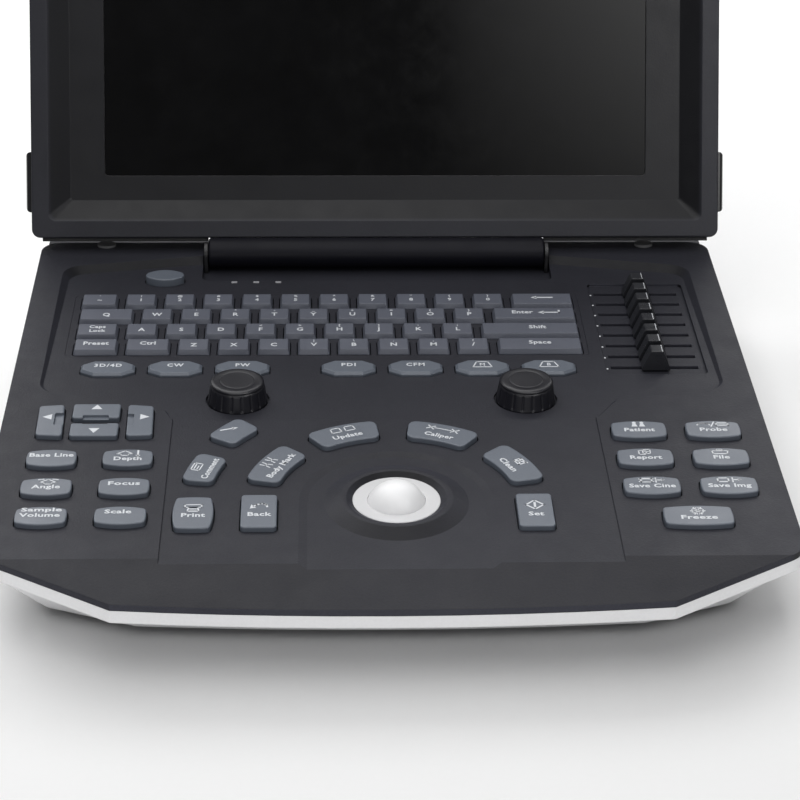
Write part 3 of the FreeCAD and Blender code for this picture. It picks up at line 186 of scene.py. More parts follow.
MATERIALS = {
    # deck and well: painted shade on forward-facing faces, painted light on rear-facing and steep front faces
    "deck_plastic": plastic("deck_plastic", (0.0235, 0.0240, 0.0310), 0.50, grain=900, bump=0.35,
                            mottle=0.10, wear_and_highlight=0.5, specular=0.16, painted_slope_shading=True),
    "well_plastic": plastic("well_plastic", (0.0235, 0.0240, 0.0310), 0.50, grain=900, bump=0.35,
                            mottle=0.10, wear_and_highlight=0.5, specular=0.16, painted_slope_shading=True),
    "white_plastic": plastic("white_plastic", (0.86, 0.86, 0.87), 0.38, bump=0.05, mottle=0.02, wear_and_highlight=0.02),
    "cover_plastic": plastic("cover_plastic", (0.66, 0.66, 0.67), 0.42, bump=0.08, mottle=0.02, wear_and_highlight=0.02),
    "foot_rubber": plastic("foot_rubber", (0.012, 0.012, 0.013), 0.85, grain=1400, bump=0.3),
    "pad_rubber": plastic("pad_rubber", (0.13, 0.13, 0.135), 0.60, grain=1400, bump=0.15),
    "screw_steel": plastic("screw_steel", (0.45, 0.45, 0.46), 0.35, metal=1.0, grain=2500, bump=0.08),
    "battery_wrap": plastic("battery_wrap", (0.010, 0.010, 0.012), 0.55, bump=0.1),
    "circuit_board": plastic("circuit_board", (0.012, 0.090, 0.035), 0.40, grain=300, bump=0.1, mottle=0.25),
    "heat_sink_aluminium": plastic("heat_sink_aluminium", (0.62, 0.62, 0.64), 0.38, metal=1.0, grain=500,
                                   bump=0.1, streak=0.05),
    "fan_plastic": plastic("fan_plastic", (0.008, 0.008, 0.009), 0.5),
    "fan_blades": plastic("fan_blades", (0.010, 0.010, 0.011), 0.42),
    "panel_plastic": plastic("panel_plastic", (0.022, 0.022, 0.024), 0.5, grain=900, bump=0.15),
    "socket_plastic": plastic("socket_plastic", (0.016, 0.016, 0.018), 0.45, grain=900, bump=0.1),
    "speaker_metal": plastic("speaker_metal", (0.02, 0.02, 0.02), 0.4),
    "light_lens": plastic("light_lens", (0.30, 0.30, 0.32), 0.35, bump=0.02, mottle=0.02, wear_and_highlight=0.0),
    "encoder_metal": plastic("encoder_metal", (0.5, 0.5, 0.52), 0.35, metal=1.0),
    "resistor_metal": plastic("resistor_metal", (0.10, 0.10, 0.11), 0.45, metal=1.0),
    "ring_plastic": plastic("ring_plastic", (0.60, 0.60, 0.61), 0.35, bump=0.02, mottle=0.01, wear_and_highlight=0.0),
    "cup_plastic": plastic("cup_plastic", (0.01, 0.01, 0.011), 0.6),
    "ball_resin": plastic("ball_resin", (0.86, 0.86, 0.87), 0.42, grain=200, bump=0.0, mottle=0.015,
                          wear_and_highlight=0.0),
    "coated_steel": plastic("coated_steel", (0.010, 0.010, 0.012), 0.45, bump=0.1),
    "bracket_steel": plastic("bracket_steel", (0.52, 0.52, 0.54), 0.32, metal=1.0, grain=600, streak=0.05),
    "hinge_plastic": plastic("hinge_plastic", (0.0060, 0.0060, 0.0095), 0.45, grain=900, bump=0.08, wear_and_highlight=0.3,
                             specular=0.12),
    # bezel: painted shade behind the lid's front face
    "bezel_plastic": plastic("bezel_plastic", (0.0175, 0.0180, 0.0235), 0.42, grain=900, bump=0.14, wear_and_highlight=0.6,
                             specular=0.25, painted_recess_shade=0.32),
    "back_plastic": plastic("back_plastic", (0.72, 0.72, 0.73), 0.38, bump=0.05, mottle=0.02, wear_and_highlight=0.02),
    "screen_surface": plastic("screen_surface", (0.0030, 0.0030, 0.0033), 0.12, grain=40, bump=0.0,
                              mottle=0.2, wear_and_highlight=0.0, edge=0.2, specular=0.2),
    "lcd_metal": plastic("lcd_metal", (0.5, 0.5, 0.52), 0.4, metal=1.0),
    "bumper_plastic": plastic("bumper_plastic", (0.006, 0.006, 0.007), 0.18, bump=0.01, wear_and_highlight=0.2, coat=0.5),
    "knob_plastic": plastic("knob_plastic", (0.010, 0.010, 0.0140), 0.36, bump=0.02, wear_and_highlight=0.5, specular=0.4),
    "control_key_plastic": plastic("control_key_plastic", (0.106, 0.122, 0.150), 0.42, grain=1500, bump=0.08,
                                   mottle=0.05, wear_and_highlight=0.45),
    "keyboard_key_plastic": plastic("keyboard_key_plastic", (0.096, 0.104, 0.132), 0.42, grain=1500,
                                    bump=0.08, mottle=0.05, wear_and_highlight=0.45),
    "slider_plastic": plastic("slider_plastic", (0.020, 0.021, 0.025), 0.30, bump=0.05, wear_and_highlight=0.6),
    "legend_ink": plastic("legend_ink", (0.62, 0.64, 0.67), 0.55, grain=2500, bump=0.02, mottle=0.04,
                          wear_and_highlight=0.0, edge=0.02),
}


def finish_with(piece, slot_name):
    """Give a piece one of the materials above."""
    piece.data.materials.clear()
    piece.data.materials.append(MATERIALS[slot_name])


for part in frame["record"]["subparts"]:
    finish_with(nodes[part["node"]], part["material_slot"])


# ---------------------------------------------------------------- mesh helpers

def keys_of(node):
    """The separate keys in a node: each as a list of its corner points."""
    mesh = bmesh.new()
    mesh.from_mesh(nodes[node].data)
    bmesh.ops.remove_doubles(mesh, verts=mesh.verts, dist=1e-6)
    mesh.verts.ensure_lookup_table()
    seen, islands = set(), []
    for start in mesh.verts:
        if start.index in seen:
            continue
        seen.add(start.index)
        island, waiting = [], [start]
        while waiting:
            vert = waiting.pop()
            island.append(vert.co.copy())
            for edge in vert.link_edges:
                other = edge.other_vert(vert)
                if other.index not in seen:
                    seen.add(other.index)
                    waiting.append(other)
        islands.append(island)
    mesh.free()
    return islands


def middle(points):
    """Centre of the points' box in X and Y, at the height of the topmost point."""
    xs, ys, zs = zip(*points)
    return Vector(((min(xs) + max(xs)) / 2, (min(ys) + max(ys)) / 2, max(zs)))


def by_rows(node):
    """Key centres from the rear row to the front one, each row from left to right."""
    return sorted((middle(key) for key in keys_of(node)), key=lambda c: (-round(c.y / (6 * MM)), c.x))


class Print:
    """Raised ink on one body: letters and thin strokes, each a closed flat solid, joined in one mesh."""

    def __init__(self, name, body):
        self.name, self.body = name, body
        self.mesh = bmesh.new()

    def letters(self, words, place, size=5.3, turn=0.0, width=None, shift=(0, 0), spacing=1.05):
        """Words centred on place plus shift (in mm, along and across the turned line)."""
        curve = bpy.data.curves.new("letters", "FONT")
        curve.body = words
        curve.size = size * MM
        curve.align_x = "CENTER"
        curve.align_y = "CENTER"
        curve.space_character = spacing
        curve.extrude = INK / 2
        curve.offset = 0.026 * size * MM
        curve.resolution_u = 2
        holder = bpy.data.objects.new("letters", curve)
        bpy.context.scene.collection.objects.link(holder)
        bpy.context.view_layer.update()
        drawn = bpy.data.meshes.new_from_object(holder.evaluated_get(bpy.context.evaluated_depsgraph_get()))
        xs = [vert.co.x for vert in drawn.vertices]
        stretch = width * MM / (max(xs) - min(xs)) if width else 1.0
        line = Matrix.Rotation(math.radians(turn), 4, "Z")
        at = Matrix.Translation(place + Vector((0, 0, INK / 2))) @ line
        at = at @ Matrix.Translation((shift[0] * MM, shift[1] * MM, 0)) @ Matrix.Diagonal((stretch, 1, 1, 1))
        drawn.transform(at)
        self.mesh.from_mesh(drawn)
        bpy.data.objects.remove(holder)
        bpy.data.curves.remove(curve)
        bpy.data.meshes.remove(drawn)

    def shape(self, outline, place, turn=0.0, shift=(0, 0)):
        """A filled convex outline; its points are in mm about the place."""
        angle = math.radians(turn)
        across = Vector((math.cos(angle), math.sin(angle), 0)) * MM
        ahead = Vector((-math.sin(angle), math.cos(angle), 0)) * MM
        ground = [place + across * (x + shift[0]) + ahead * (y + shift[1]) for x, y in outline]
        low = [self.mesh.verts.new(point) for point in ground]
        high = [self.mesh.verts.new(point + Vector((0, 0, INK))) for point in ground]
        self.mesh.faces.new(reversed(low))
        self.mesh.faces.new(high)
        for i in range(len(low)):
            j = (i + 1) % len(low)
            self.mesh.faces.new((low[i], low[j], high[j], high[i]))

    def stroke(self, points, place, turn=0.0, shift=(0, 0), width=0.6):
        """A line through points, drawn as one flat bar per stretch."""
        for (x0, y0), (x1, y1) in zip(points, points[1:]):
            length = math.hypot(x1 - x0, y1 - y0)
            dx, dy = (x1 - x0) / length * width / 2, (y1 - y0) / length * width / 2
            self.shape([(x0 - dx + dy, y0 - dy - dx), (x1 + dx + dy, y1 + dy - dx),
                        (x1 + dx - dy, y1 + dy + dx), (x0 - dx - dy, y0 - dy + dx)], place, turn, shift)

    def finish(self):
        bmesh.ops.recalc_face_normals(self.mesh, faces=self.mesh.faces)
        mesh = bpy.data.meshes.new(self.name)
        self.mesh.to_mesh(mesh)
        self.mesh.free()
        piece = bpy.data.objects.new(self.name, mesh)
        bpy.context.scene.collection.objects.link(piece)
        mesh.materials.append(MATERIALS["legend_ink"])
        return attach(piece, self.body)


def arc_points(radius_x, radius_y, first, last, steps=8):
    """Points of an arc about the origin, from one angle to another in degrees."""
    angles = [math.radians(first + (last - first) * i / steps) for i in range(steps + 1)]
    return [(radius_x * math.cos(a), radius_y * math.sin(a)) for a in angles]


def closed(*points):
    return list(points) + [points[0]]


# ---------------------------------------------------------------- printed legends

def row_legends():
    """Letters, digits and plain words of the four keyboard rows."""
    rows = {"number_row_keys": ["~"] + list("1234567890") + [""],
            "upper_row_keys": ["Q"] + list("WERTYUIOP") + [""],
            "home_row_keys": [""] + list("ASDFGHJKL") + ["Shift"],
            "lower_row_keys": ["Preset", "Ctrl"] + list("ZXCVBNM") + ["/", "Space"]}
    marks = {"number_row_keys": ["`"] + list("!@#$%^&*()"),
             "upper_row_keys": ["", "", "'", '"', "-", "_", "+", "=", "{", "}"],
             "home_row_keys": ["", "", "", "", "<", ">", "[", "]", ":", ";"],
             "lower_row_keys": ["", "", "", "", "", "|", "\\", ".", ",", "?"]}
    for row, words in rows.items():
        ink = Print(f"{row}_print", body_of[row])
        centres = sorted((middle(key) for key in keys_of(row)), key=lambda c: c.x)
        small = row == "number_row_keys"
        for i, (word, place) in enumerate(zip(words, centres)):
            if word:
                lift = 1.2 if len(word) > 1 else -0.9
                ink.letters(word, place, 4.3 if small else 5.0, shift=(4.0 if word == "Shift" else 0.0, lift))
            if i < len(marks[row]) and marks[row][i]:
                ink.letters(marks[row][i], place, 2.9, shift=(0, 3.6))
        if row == "number_row_keys":
            ink.stroke([(-3.0, 0), (6.0, 0)], centres[-1], shift=(-0.6, 1.2), width=1.2)
            ink.shape([(-5.6, 0), (-2.4, -1.9), (-2.4, 1.9)], centres[-1], shift=(-0.6, 1.2))
        if row == "upper_row_keys":
            ink.letters("Enter", centres[-1], 5.0, shift=(-6.6, 1.2))
            ink.stroke([(-2.6, 0), (6.2, 0), (6.2, 2.2)], centres[-1], shift=(7.4, 0.8), width=1.1)
            ink.shape([(-5.4, 0), (-2.2, -1.9), (-2.2, 1.9)], centres[-1], shift=(7.4, 0.8))
        if row == "home_row_keys":
            ink.letters("Caps", centres[0], 4.2, shift=(0, 2.6))
            ink.letters("Lock", centres[0], 4.2, shift=(0, -2.0))
        ink.finish()


def mode_legends():
    """Imaging modes on the row of octagonal keys."""
    ink = Print("mode_keys_print", body_of["mode_keys"])
    centres = sorted((middle(key) for key in keys_of("mode_keys")), key=lambda c: c.x)
    for word, place in zip(["3D/4D", "CW", "PW", "PDI", "CFM"], centres):
        ink.letters(word, place, 4.6, shift=(0, 1.6), spacing=1.2)
    for word, place in zip("MB", centres[5:]):
        ink.stroke(closed((-2.9, 3.0), (2.9, 3.0), (5.0, -2.8), (-5.0, -2.8)), place, shift=(0, 1.6),
                   width=0.7)
        ink.letters(word, place, 3.9, shift=(0, 1.4))
    ink.finish()


def cursor_legends():
    """A triangle on each cursor key, pointing away from the cluster's middle."""
    for way, turn, shift in (("left", 90, (-1.8, 3.0)), ("right", -90, (1.9, 3.0)),
                             ("up", 0, (0, 3.6)), ("down", 180, (0, -1.2))):
        node = f"cursor_{way}_key"
        ink = Print(f"{node}_print", body_of[node])
        place = middle([point for key in keys_of(node) for point in key])
        ink.shape([(-2.7, -2.1), (2.7, -2.1), (0, 2.5)], place + Vector((shift[0], shift[1], 0)) * MM, turn)
        ink.finish()


def parameter_legends():
    ink = Print("parameter_keys_print", body_of["parameter_keys"])
    base, depth, angle, focus, volume, scale = by_rows("parameter_keys")
    probe_arrow = closed((-3.9, 0.5), (0, 3.3), (3.9, 0.5), (1.8, 0.5), (1.8, -1.1), (-1.8, -1.1),
                         (-1.8, 0.5))
    ink.letters("Base Line", base, 4.6, width=21.4, shift=(-0.2, 2.4))
    ink.letters("Depth", depth, 4.6, width=13.5, shift=(0, -1.2))
    ink.stroke(probe_arrow, depth, shift=(-1.6, 2.9), width=0.6)
    ink.stroke([(0, 4.4), (0, -0.6)], depth, shift=(4.8, 2.0), width=0.9)
    ink.shape([(-1.2, 0.4), (0, -1.6), (1.2, 0.4)], depth, shift=(4.8, 1.8))
    ink.letters("Angle", angle, 4.6, width=13.7, shift=(0, -0.4))
    ink.stroke(probe_arrow, angle, shift=(0.6, 3.1), width=0.6)
    for side in (-1, 1):
        ink.stroke([(side * 2.2, 3.4), (side * 4.6, 3.0)], angle, shift=(0.6, 3.1), width=0.6)
    ink.letters("Focus", focus, 4.6, width=15.2, shift=(-0.2, 2.4))
    ink.letters("Sample", volume, 4.4, width=19.0, shift=(0, 5.0))
    ink.letters("Volume", volume, 4.4, width=19.0, shift=(-0.4, 0.2))
    ink.letters("Scale", scale, 4.6, width=12.6, shift=(-1.2, 3.0))
    ink.finish()


def file_legends():
    ink = Print("file_keys_print", body_of["file_keys"])
    patient, probe, report, folder, cine, image = by_rows("file_keys")
    rows = ((patient, "Patient", 15.2), (probe, "Probe", 13.7), (report, "Report", 15.6),
            (folder, "File", 8.0), (cine, "Save Cine", 22.4), (image, "Save Img", 20.8))
    for place, word, width in rows:
        ink.letters(word, place, 4.6, width=width, shift=(0, -0.8))
    up = 4.3
    for side in (-1.9, 1.9):
        ink.shape(arc_points(1.0, 1.2, 0, 330, 11), patient, shift=(side, up + 1.8))
        ink.shape([(-1.5, -1.8), (1.5, -1.8), (0.9, 0.6), (-0.9, 0.6)], patient, shift=(side, up))
    ink.stroke(arc_points(3.2, 2.4, 160, 20, 6), probe, shift=(-4.4, up - 1.2), width=0.9)
    ink.stroke([(-0.9, -2.0), (0.9, 2.4)], probe, shift=(0.2, up), width=0.7)
    ink.stroke(closed((-3.0, -0.8), (-3.0, 1.4), (3.0, 1.4), (3.0, -0.8)), probe, shift=(5.0, up), width=0.9)
    for side in (-1.0, 1.0):
        ink.stroke(closed((-1.8, -1.9), (-1.8, 2.1), (1.8, 2.1), (1.8, -1.9)), report,
                   shift=(side, up + side * 0.4), width=0.6)
    ink.stroke([(-1.0, 0.6), (1.0, 0.6)], report, shift=(1.0, up), width=0.5)
    ink.stroke(closed((-3.4, -1.9), (3.4, -1.9), (4.0, 1.0), (-4.0, 1.0)), folder, shift=(0, up), width=0.7)
    ink.stroke([(-2.0, 1.0), (-1.0, 2.4), (1.0, 2.4), (1.6, 1.0)], folder, shift=(0, up), width=0.7)
    for place in (cine, image):
        ink.stroke(closed((-2.6, -1.6), (2.6, -1.6), (2.6, 1.8), (-2.6, 1.8)), place, shift=(-2.4, up),
                   width=0.8)
        ink.stroke([(0, -1.8), (0, 2.0)], place, shift=(2.2, up), width=0.7)
        ink.stroke([(0.2, 0), (3.4, 0)], place, shift=(2.2, up + 0.2), width=0.7)
        ink.shape([(2.6, -1.0), (4.4, 0), (2.6, 1.0)], place, shift=(2.2, up + 0.2))
    for side in (-1.0, 1.0):
        ink.stroke([(-3.4, side * 1.2), (3.4, side * 1.2)], cine, shift=(-2.4, up), width=0.6)
    ink.finish()


def wide_key_legends():
    """Freeze, print, back and set."""
    place = by_rows("freeze_key")[0]
    ink = Print("freeze_key_print", body_of["freeze_key"])
    ink.letters("Freeze", place, 4.6, width=17.2, shift=(0, -2.0))
    flake = place + Vector((0, 3.6, 0)) * MM
    for turn in (0, 60, 120):
        ink.stroke([(-3.3, 0), (3.3, 0)], flake, turn, width=0.7)
        for side in (-1, 1):
            for barb in (-1, 1):
                ink.stroke([(side * 1.7, 0), (side * 2.7, barb * 1.0)], flake, turn, width=0.5)
    ink.finish()

    place = by_rows("print_key")[0]
    ink = Print("print_key_print", body_of["print_key"])
    ink.letters("Print", place, 4.6, width=11.2, shift=(0, -2.6))
    ink.stroke(closed((-3.9, 0.8), (3.9, 0.8), (3.9, 3.2), (-3.9, 3.2)), place, shift=(0, 3.6), width=0.7)
    ink.stroke(closed((-2.7, -2.8), (2.7, -2.8), (2.1, 0.8), (-2.1, 0.8)), place, shift=(0, 3.6), width=0.7)
    for level in (-0.4, -1.6):
        ink.stroke([(-1.5, level), (1.5, level)], place, shift=(0, 3.6), width=0.5)
    ink.finish()

    place = by_rows("back_key")[0]
    ink = Print("back_key_print", body_of["back_key"])
    ink.letters("Back", place, 4.6, width=11.2, shift=(0, -3.2))
    ink.stroke([(3.8, -0.6), (3.5, 0.9), (2.3, 2.0), (0.6, 2.0), (-1.2, 0.9), (-2.4, -0.2)], place,
               shift=(0, 4.2), width=1.0)
    ink.shape([(-4.3, -2.3), (-1.3, -1.5), (-3.6, 1.3)], place, shift=(0, 4.2))
    ink.finish()

    place = by_rows("set_key")[0]
    ink = Print("set_key_print", body_of["set_key"])
    ink.letters("Set", place, 4.6, width=7.4, shift=(0, -4.0))
    ink.stroke(closed((-4.2, 0), (0, 4.0), (4.2, 0), (0, -4.0)), place, shift=(0, 4.2), width=0.8)
    ink.stroke([(0, -1.6), (0, 1.6)], place, shift=(0, 4.2), width=1.1)
    ink.finish()


def arc_legends():
    """Words along the keys that curve around the trackball, each with a plain icon on its outer side."""
    low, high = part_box("trackball")
    ball = Vector(((low.x + high.x) / 2, (low.y + high.y) / 2, 0))
    ink = Print("arc_keys_print", body_of["arc_keys"])
    placed = []
    for key in keys_of("arc_keys"):
        offsets = [point - ball for point in key]
        turns = [math.atan2(offset.y, offset.x) for offset in offsets]
        reach = [math.hypot(offset.x, offset.y) for offset in offsets]
        placed.append(((min(turns) + max(turns)) / 2, (min(reach) + max(reach)) / 2, max(p.z for p in key)))

    def spot(key, outward):
        turn, reach, top = key
        reach += outward * MM
        return ball + Vector((math.cos(turn) * reach, math.sin(turn) * reach, top))

    outer = sorted(placed, key=lambda key: key[1])[4:]
    clean, caliper, update, mark = sorted(key for key in placed if key not in outer)
    pointer, comment = sorted(outer)
    words = ((update, "Update", 15.4, 90), (caliper, "Caliper", 15.0, 90), (clean, "Clean", 13.6, 90),
             (mark, "Body Mark", 25.0, 90), (comment, "Comment", 19.5, 90))
    for key, word, width, quarter in words:
        ink.letters(word, spot(key, -3.2), 4.6, math.degrees(key[0]) - quarter, width)
    turn = math.degrees(update[0]) - 90
    for side in (-3.6, 3.6):
        ink.stroke(closed((-2.6, -2.0), (2.6, -2.0), (2.2, 2.0), (-2.2, 2.0)), spot(update, 3.6), turn,
                   shift=(side, 0), width=0.6)
    turn = math.degrees(caliper[0]) - 90
    for side in (-1, 1):
        for slope in (-1, 1):
            ink.stroke([(-1.7, -1.5 * slope), (1.7, 1.5 * slope)], spot(caliper, 3.4), turn,
                       shift=(side * 6.2, 0), width=0.7)
    for i in range(-3, 4):
        ink.stroke([(-0.35, 0), (0.35, 0)], spot(caliper, 3.4), turn, shift=(i * 1.25, 0), width=0.7)
    turn = math.degrees(clean[0]) - 90
    ink.stroke(closed((-2.4, -2.0), (2.4, -2.0), (2.4, 2.0), (-2.4, 2.0)), spot(clean, 3.4), turn, width=0.7)
    ink.stroke([(-2.0, -1.6), (2.6, 2.6)], spot(clean, 3.4), turn, width=0.9)
    ink.stroke([(-2.0, 1.6), (2.0, -1.6)], spot(clean, 3.4), turn, width=0.9)
    turn = math.degrees(mark[0]) - 90
    for side in (-2.6, 2.6):
        ink.stroke([(-1.2, 2.6), (-0.8, 0), (-1.4, -2.6)], spot(mark, 3.6), turn, shift=(side, 0), width=0.6)
        ink.stroke([(1.2, 2.6), (0.8, 0), (1.4, -2.6)], spot(mark, 3.6), turn, shift=(side, 0), width=0.6)
        ink.stroke([(-0.8, 0), (0.8, 0)], spot(mark, 3.6), turn, shift=(side, 0), width=0.6)
    turn = math.degrees(comment[0]) - 90
    ink.stroke(closed((-3.2, -2.0), (3.2, -2.0), (3.2, 2.2), (-3.2, 2.2)), spot(comment, 3.4), turn,
               width=0.6)
    for level, reach in ((0.9, 2.0), (-0.6, 0.8)):
        ink.stroke([(-2.0, level), (reach, level)], spot(comment, 3.4), turn, width=0.6)
    ink.stroke([(-4.2, 0), (2.2, 0)], spot(pointer, 3.2), 18, width=0.9)
    ink.shape([(1.6, -1.3), (4.6, 0), (1.6, 1.3)], spot(pointer, 3.2), 18)
    ink.finish()


# Painted highlights on the gain slider caps and at the left ends of their slots, drawn in the legend ink.
SLOT_END = 25.2    # mm from a gain slider at rest to the left end of its slot


def painted_slider_highlights():
    """Painted highlights: a pale line along each gain slider cap's right top edge and a pale dot at the left
    end of each slot.
    """
    painted_slot_glints = Print("gain_slot_glints", body_of["top_deck"])
    deck = nodes["top_deck"]
    for i in range(1, 9):
        node = f"gain_slider_{i}"
        low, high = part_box(node)
        ink = Print(f"{node}_print", body_of[node])
        place = Vector(((low.x + high.x) / 2, (low.y + high.y) / 2, high.z))
        # painted highlight: a pale strip along the cap's right top edge, for the light caught on its ridge
        ink.stroke([(0, -3.5), (0, 3.5)], place, shift=(2.6, 0), width=0.3)
        ink.finish()
        above = place + Vector((-SLOT_END, 0, 5)) * MM
        hit, floor, _, _ = deck.ray_cast(deck.matrix_world.inverted() @ above, (0, 0, -1))
        # painted highlight: a pale dot where the slot's end catches the light
        if hit:
            painted_slot_glints.shape(arc_points(0.55, 0.75, 0, 315, 7), deck.matrix_world @ floor)
    painted_slot_glints.finish()


# ---------------------------------------------------------------- knobs

def lathe(name, profile, centre, steps, shape):
    """A closed turned piece; shape(radius, level, angle) gives each point's radius."""
    mesh = bmesh.new()
    rings = []
    for radius, level in profile:
        ring = []
        for i in range(steps):
            angle = 2 * math.pi * i / steps
            reach = shape(radius, level, angle)
            offset = Vector((reach * math.cos(angle), reach * math.sin(angle), level))
            ring.append(mesh.verts.new(centre + offset * MM))
        rings.append(ring)
    for low, high in zip(rings, rings[1:]):
        for i in range(steps):
            j = (i + 1) % steps
            mesh.faces.new((low[i], low[j], high[j], high[i]))
    mesh.faces.new(reversed(rings[0]))
    mesh.faces.new(rings[-1])
    bmesh.ops.recalc_face_normals(mesh, faces=mesh.faces)
    data = bpy.data.meshes.new(name)
    mesh.to_mesh(data)
    mesh.free()
    for polygon in data.polygons:
        polygon.use_smooth = True
    piece = bpy.data.objects.new(name, data)
    bpy.context.scene.collection.objects.link(piece)
    return piece


FLUTES = 18    # grooves around a knob's skirt


def knobs():
    """Two knobs: a fluted skirt, a bevelled crown and a flat top with a fine ring."""
    for node in ("knob_left", "knob_right"):
        low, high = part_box(node)
        tall = (high.z - low.z) / MM
        radius = (high.x - low.x) / 2 / MM
        crown = radius - 1.7
        centre = Vector(((low.x + high.x) / 2, (low.y + high.y) / 2, low.z))
        profile = [(radius - 0.2, 0.0), (radius, 0.2), (radius - 0.05, 1.2)]
        profile += [(radius - 0.1 - 1.5 * i / 8, 1.4 + (tall - 3.4) * i / 8) for i in range(9)]
        profile += [(crown - 0.05, tall - 1.9), (crown - 0.35, tall - 1.7), (crown + 0.05, tall - 1.5),
                    (crown + 0.1, tall - 1.1), (crown - 0.1, tall - 0.65), (crown - 0.9, tall - 0.2),
                    (crown - 1.5, tall - 0.05), (crown - 1.9, tall), (crown - 2.1, tall), (8.95, tall),
                    (8.85, tall - 0.03), (8.75, tall - 0.15), (8.55, tall - 0.15), (8.45, tall - 0.03),
                    (8.35, tall), (8.1, tall), (0.4, tall)]

        def flute(reach, level, angle, tall=tall):
            if not 1.3 < level < tall - 2.0:
                return reach
            return reach - 0.42 * max(0.0, math.cos(FLUTES * angle)) ** 6

        knob = lathe(node + "_cap", profile, centre, 16 * FLUTES, flute)
        knob.data.materials.append(MATERIALS["knob_plastic"])
        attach(knob, body_of[node])
        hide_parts(node)


# ---------------------------------------------------------------- dark strip under the lid: painted shade in the gap

def strips(name, points, inner, outer, node, slot_name):
    """A pair of long strips beside the hinge: one outline in Y and Z (mm), drawn from inner to outer X."""
    mesh = bmesh.new()
    for side in (-1, 1):
        ends = [[mesh.verts.new(Vector((side * x, y, z)) * MM) for y, z in points] for x in (inner, outer)]
        mesh.faces.new(ends[0])
        mesh.faces.new(reversed(ends[1]))
        for i in range(len(points)):
            j = (i + 1) % len(points)
            mesh.faces.new((ends[0][i], ends[1][i], ends[1][j], ends[0][j]))
    bmesh.ops.recalc_face_normals(mesh, faces=mesh.faces)
    data = bpy.data.meshes.new(name)
    mesh.to_mesh(data)
    mesh.free()
    piece = bpy.data.objects.new(name, data)
    bpy.context.scene.collection.objects.link(piece)
    data.materials.append(MATERIALS[slot_name])
    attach(piece, body_of[node])


def on_lid(up, back):
    """Y and Z in mm of a point given by its distance up the lid and behind the lid's front."""
    point = HINGE / MM + LID_UP * up + LID_BACK * back
    return point.y, point.z


def lid_gap_shade():
    """A dark strip along the lid's lower edge: painted shade placed in the shadowed gap above the deck."""
    outline = [on_lid(10.6, 2.0), on_lid(6.7, 2.0), on_lid(6.4, 2.3), on_lid(6.4, 5.7), on_lid(6.7, 6.0),
               on_lid(10.6, 6.0)]
    strips("lid_gap_shade_strip", outline, 95.9, 190.0, "lid_back_cover", "foot_rubber")


# ---------------------------------------------------------------- build the pieces

row_legends()
mode_legends()
cursor_legends()
parameter_legends()
file_legends()
wide_key_legends()
arc_legends()
painted_slider_highlights()
knobs()
lid_gap_shade()


# ---------------------------------------------------------------- stage, light, camera

def area_light(name, place, target, width, depth, power, skip=None):
    """A soft light; skip is an object it doesn't light."""
    data = bpy.data.lights.new(name, "AREA")
    data.shape = "RECTANGLE"
    data.size, data.size_y = width, depth
    data.energy = power
    lamp = bpy.data.objects.new(name, data)
    bpy.context.scene.collection.objects.link(lamp)
    lamp.location = place
    lamp.rotation_euler = (Vector(target) - Vector(place)).to_track_quat("-Z", "Y").to_euler()
    if skip:
        skipped = bpy.data.collections.new(name + "_skips")
        skipped.objects.link(skip)
        skipped.collection_objects[0].light_linking.link_state = "EXCLUDE"
        lamp.light_linking.receiver_collection = skipped


def stage_floor():
    mesh = bpy.data.meshes.new("floor")
    half = 9.0
    corners = [(-half, -half, 0), (half, -half, 0), (half, half, 0), (-half, half, 0)]
    mesh.from_pydata(corners, [], [(0, 1, 2, 3)])
    floor = bpy.data.objects.new("floor", mesh)
    bpy.context.scene.collection.objects.link(floor)
    mat = plastic("floor_paper", (0.86, 0.86, 0.86), 0.9, grain=300, bump=0.01, mottle=0.004, wear_and_highlight=0.0,
                  specular=0.1)
    mesh.materials.append(mat)
    return floor


def camera():
    """The viewing angle: a little left of the middle, looking down at the console."""
    pitch, yaw, roll = (math.radians(a) for a in (28.8248, 2.1799, 0.8490))
    forward = Vector((math.sin(yaw) * math.cos(pitch), math.cos(yaw) * math.cos(pitch), -math.sin(pitch)))
    level = Vector((math.cos(yaw), -math.sin(yaw), 0))
    upward = level.cross(forward)
    right = math.cos(roll) * level + math.sin(roll) * upward
    up = -math.sin(roll) * level + math.cos(roll) * upward
    data = bpy.data.cameras.new("camera")
    data.lens = 109.35
    data.sensor_width = 36.0
    eye = bpy.data.objects.new("camera", data)
    bpy.context.scene.collection.objects.link(eye)
    turn = Matrix((right, up, -forward)).transposed()
    eye.matrix_world = Matrix.Translation((-0.03314, -1.15666, 0.64308)) @ turn.to_4x4()
    bpy.context.scene.camera = eye


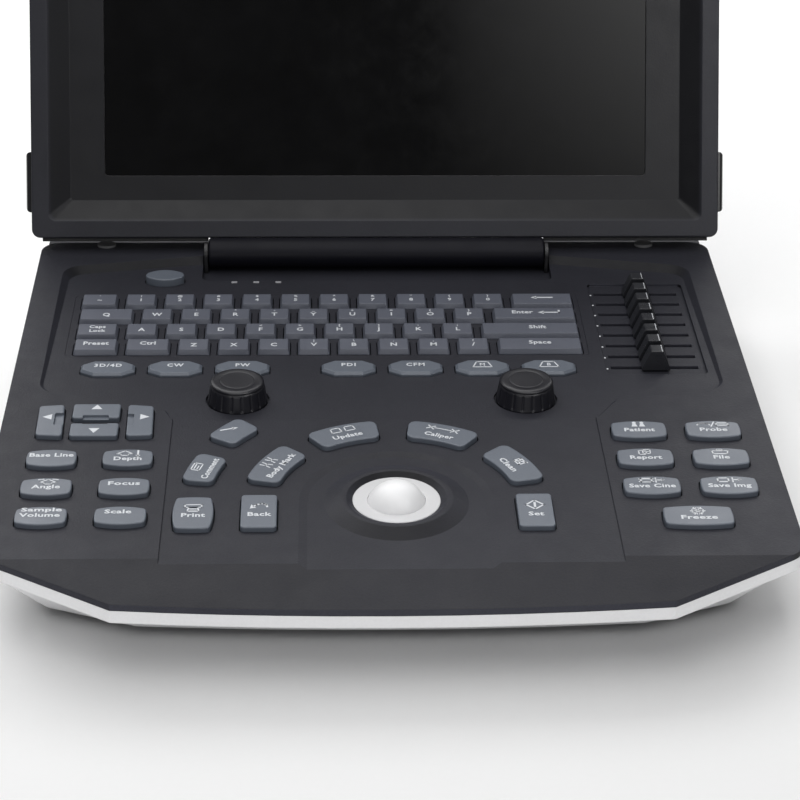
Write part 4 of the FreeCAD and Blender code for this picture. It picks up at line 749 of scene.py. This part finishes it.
def reflection_card(name, left, right, low, high, distance, glow):
    """A card that only shows as a soft reflection in the glass, seen from the camera.

    left, right, low and high say which part of the glass it fills (mm from the lid's middle and from the
    hinge); glow gives its brightness at the lower left, lower right, upper left and upper right corner.
    """
    eye = bpy.context.scene.camera.matrix_world.translation
    glass = HINGE + LID_BACK * GLASS_DEPTH * MM
    mirrored = eye - 2 * LID_BACK * (eye - glass).dot(LID_BACK)

    def seen_at(x, up):
        point = glass + Vector((x, 0, 0)) * MM + LID_UP * up * MM
        return point + (point - mirrored).normalized() * distance

    steps = 12
    mesh = bpy.data.meshes.new(name)
    points, values, faces = [], [], []
    for j in range(steps + 1):
        for i in range(steps + 1):
            u, v = i / steps, j / steps
            points.append(seen_at(left + (right - left) * u, low + (high - low) * v))
            values.append((glow[0] * (1 - u) + glow[1] * u) * (1 - v) + (glow[2] * (1 - u) + glow[3] * u) * v)
    for j in range(steps):
        for i in range(steps):
            corner = j * (steps + 1) + i
            faces.append((corner, corner + 1, corner + steps + 2, corner + steps + 1))
    mesh.from_pydata(points, [], faces)
    mesh.attributes.new("glow", "FLOAT", "POINT").data.foreach_set("value", values)
    mat = bpy.data.materials.new(name)
    mat.use_nodes = True
    tree = mat.node_tree
    tree.nodes.clear()
    value = tree.nodes.new("ShaderNodeAttribute")
    value.attribute_name = "glow"
    emission = tree.nodes.new("ShaderNodeEmission")
    tree.links.new(value.outputs["Fac"], emission.inputs["Strength"])
    output = tree.nodes.new("ShaderNodeOutputMaterial")
    tree.links.new(emission.outputs[0], output.inputs["Surface"])
    mesh.materials.append(mat)
    card = bpy.data.objects.new(name, mesh)
    bpy.context.scene.collection.objects.link(card)
    card.visible_camera = False
    card.visible_diffuse = False
    card.visible_shadow = False


def studio(floor):
    world = bpy.data.worlds.new("studio")
    world.use_nodes = True
    world.node_tree.nodes["Background"].inputs["Color"].default_value = (1, 1, 1, 1)
    world.node_tree.nodes["Background"].inputs["Strength"].default_value = WORLD
    bpy.context.scene.world = world
    bpy.context.scene.view_settings.view_transform = "Standard"
    area_light("overhead", (-0.3, -0.2, 2.0), (0, -0.2, 0), 3.0, 1.8, OVERHEAD)
    area_light("rear_softbox", (-0.2, 1.7, 1.5), (0, -0.3, 0), 3.2, 1.4, REAR)
    area_light("right_fill", (1.0, -0.9, 0.9), (0.15, 0, 0.15), 0.8, 0.8, RIGHT, floor)
    area_light("front_fill", (-0.3, -1.9, 0.35), (0, 0, 0.05), 1.6, 0.5, FRONT, floor)
    reflection_card("window", 42, 420, 20, 330, 1.1, (0.12, 2.1, 1.4, 16.0))


floor_sheet = stage_floor()
camera()
studio(floor_sheet)
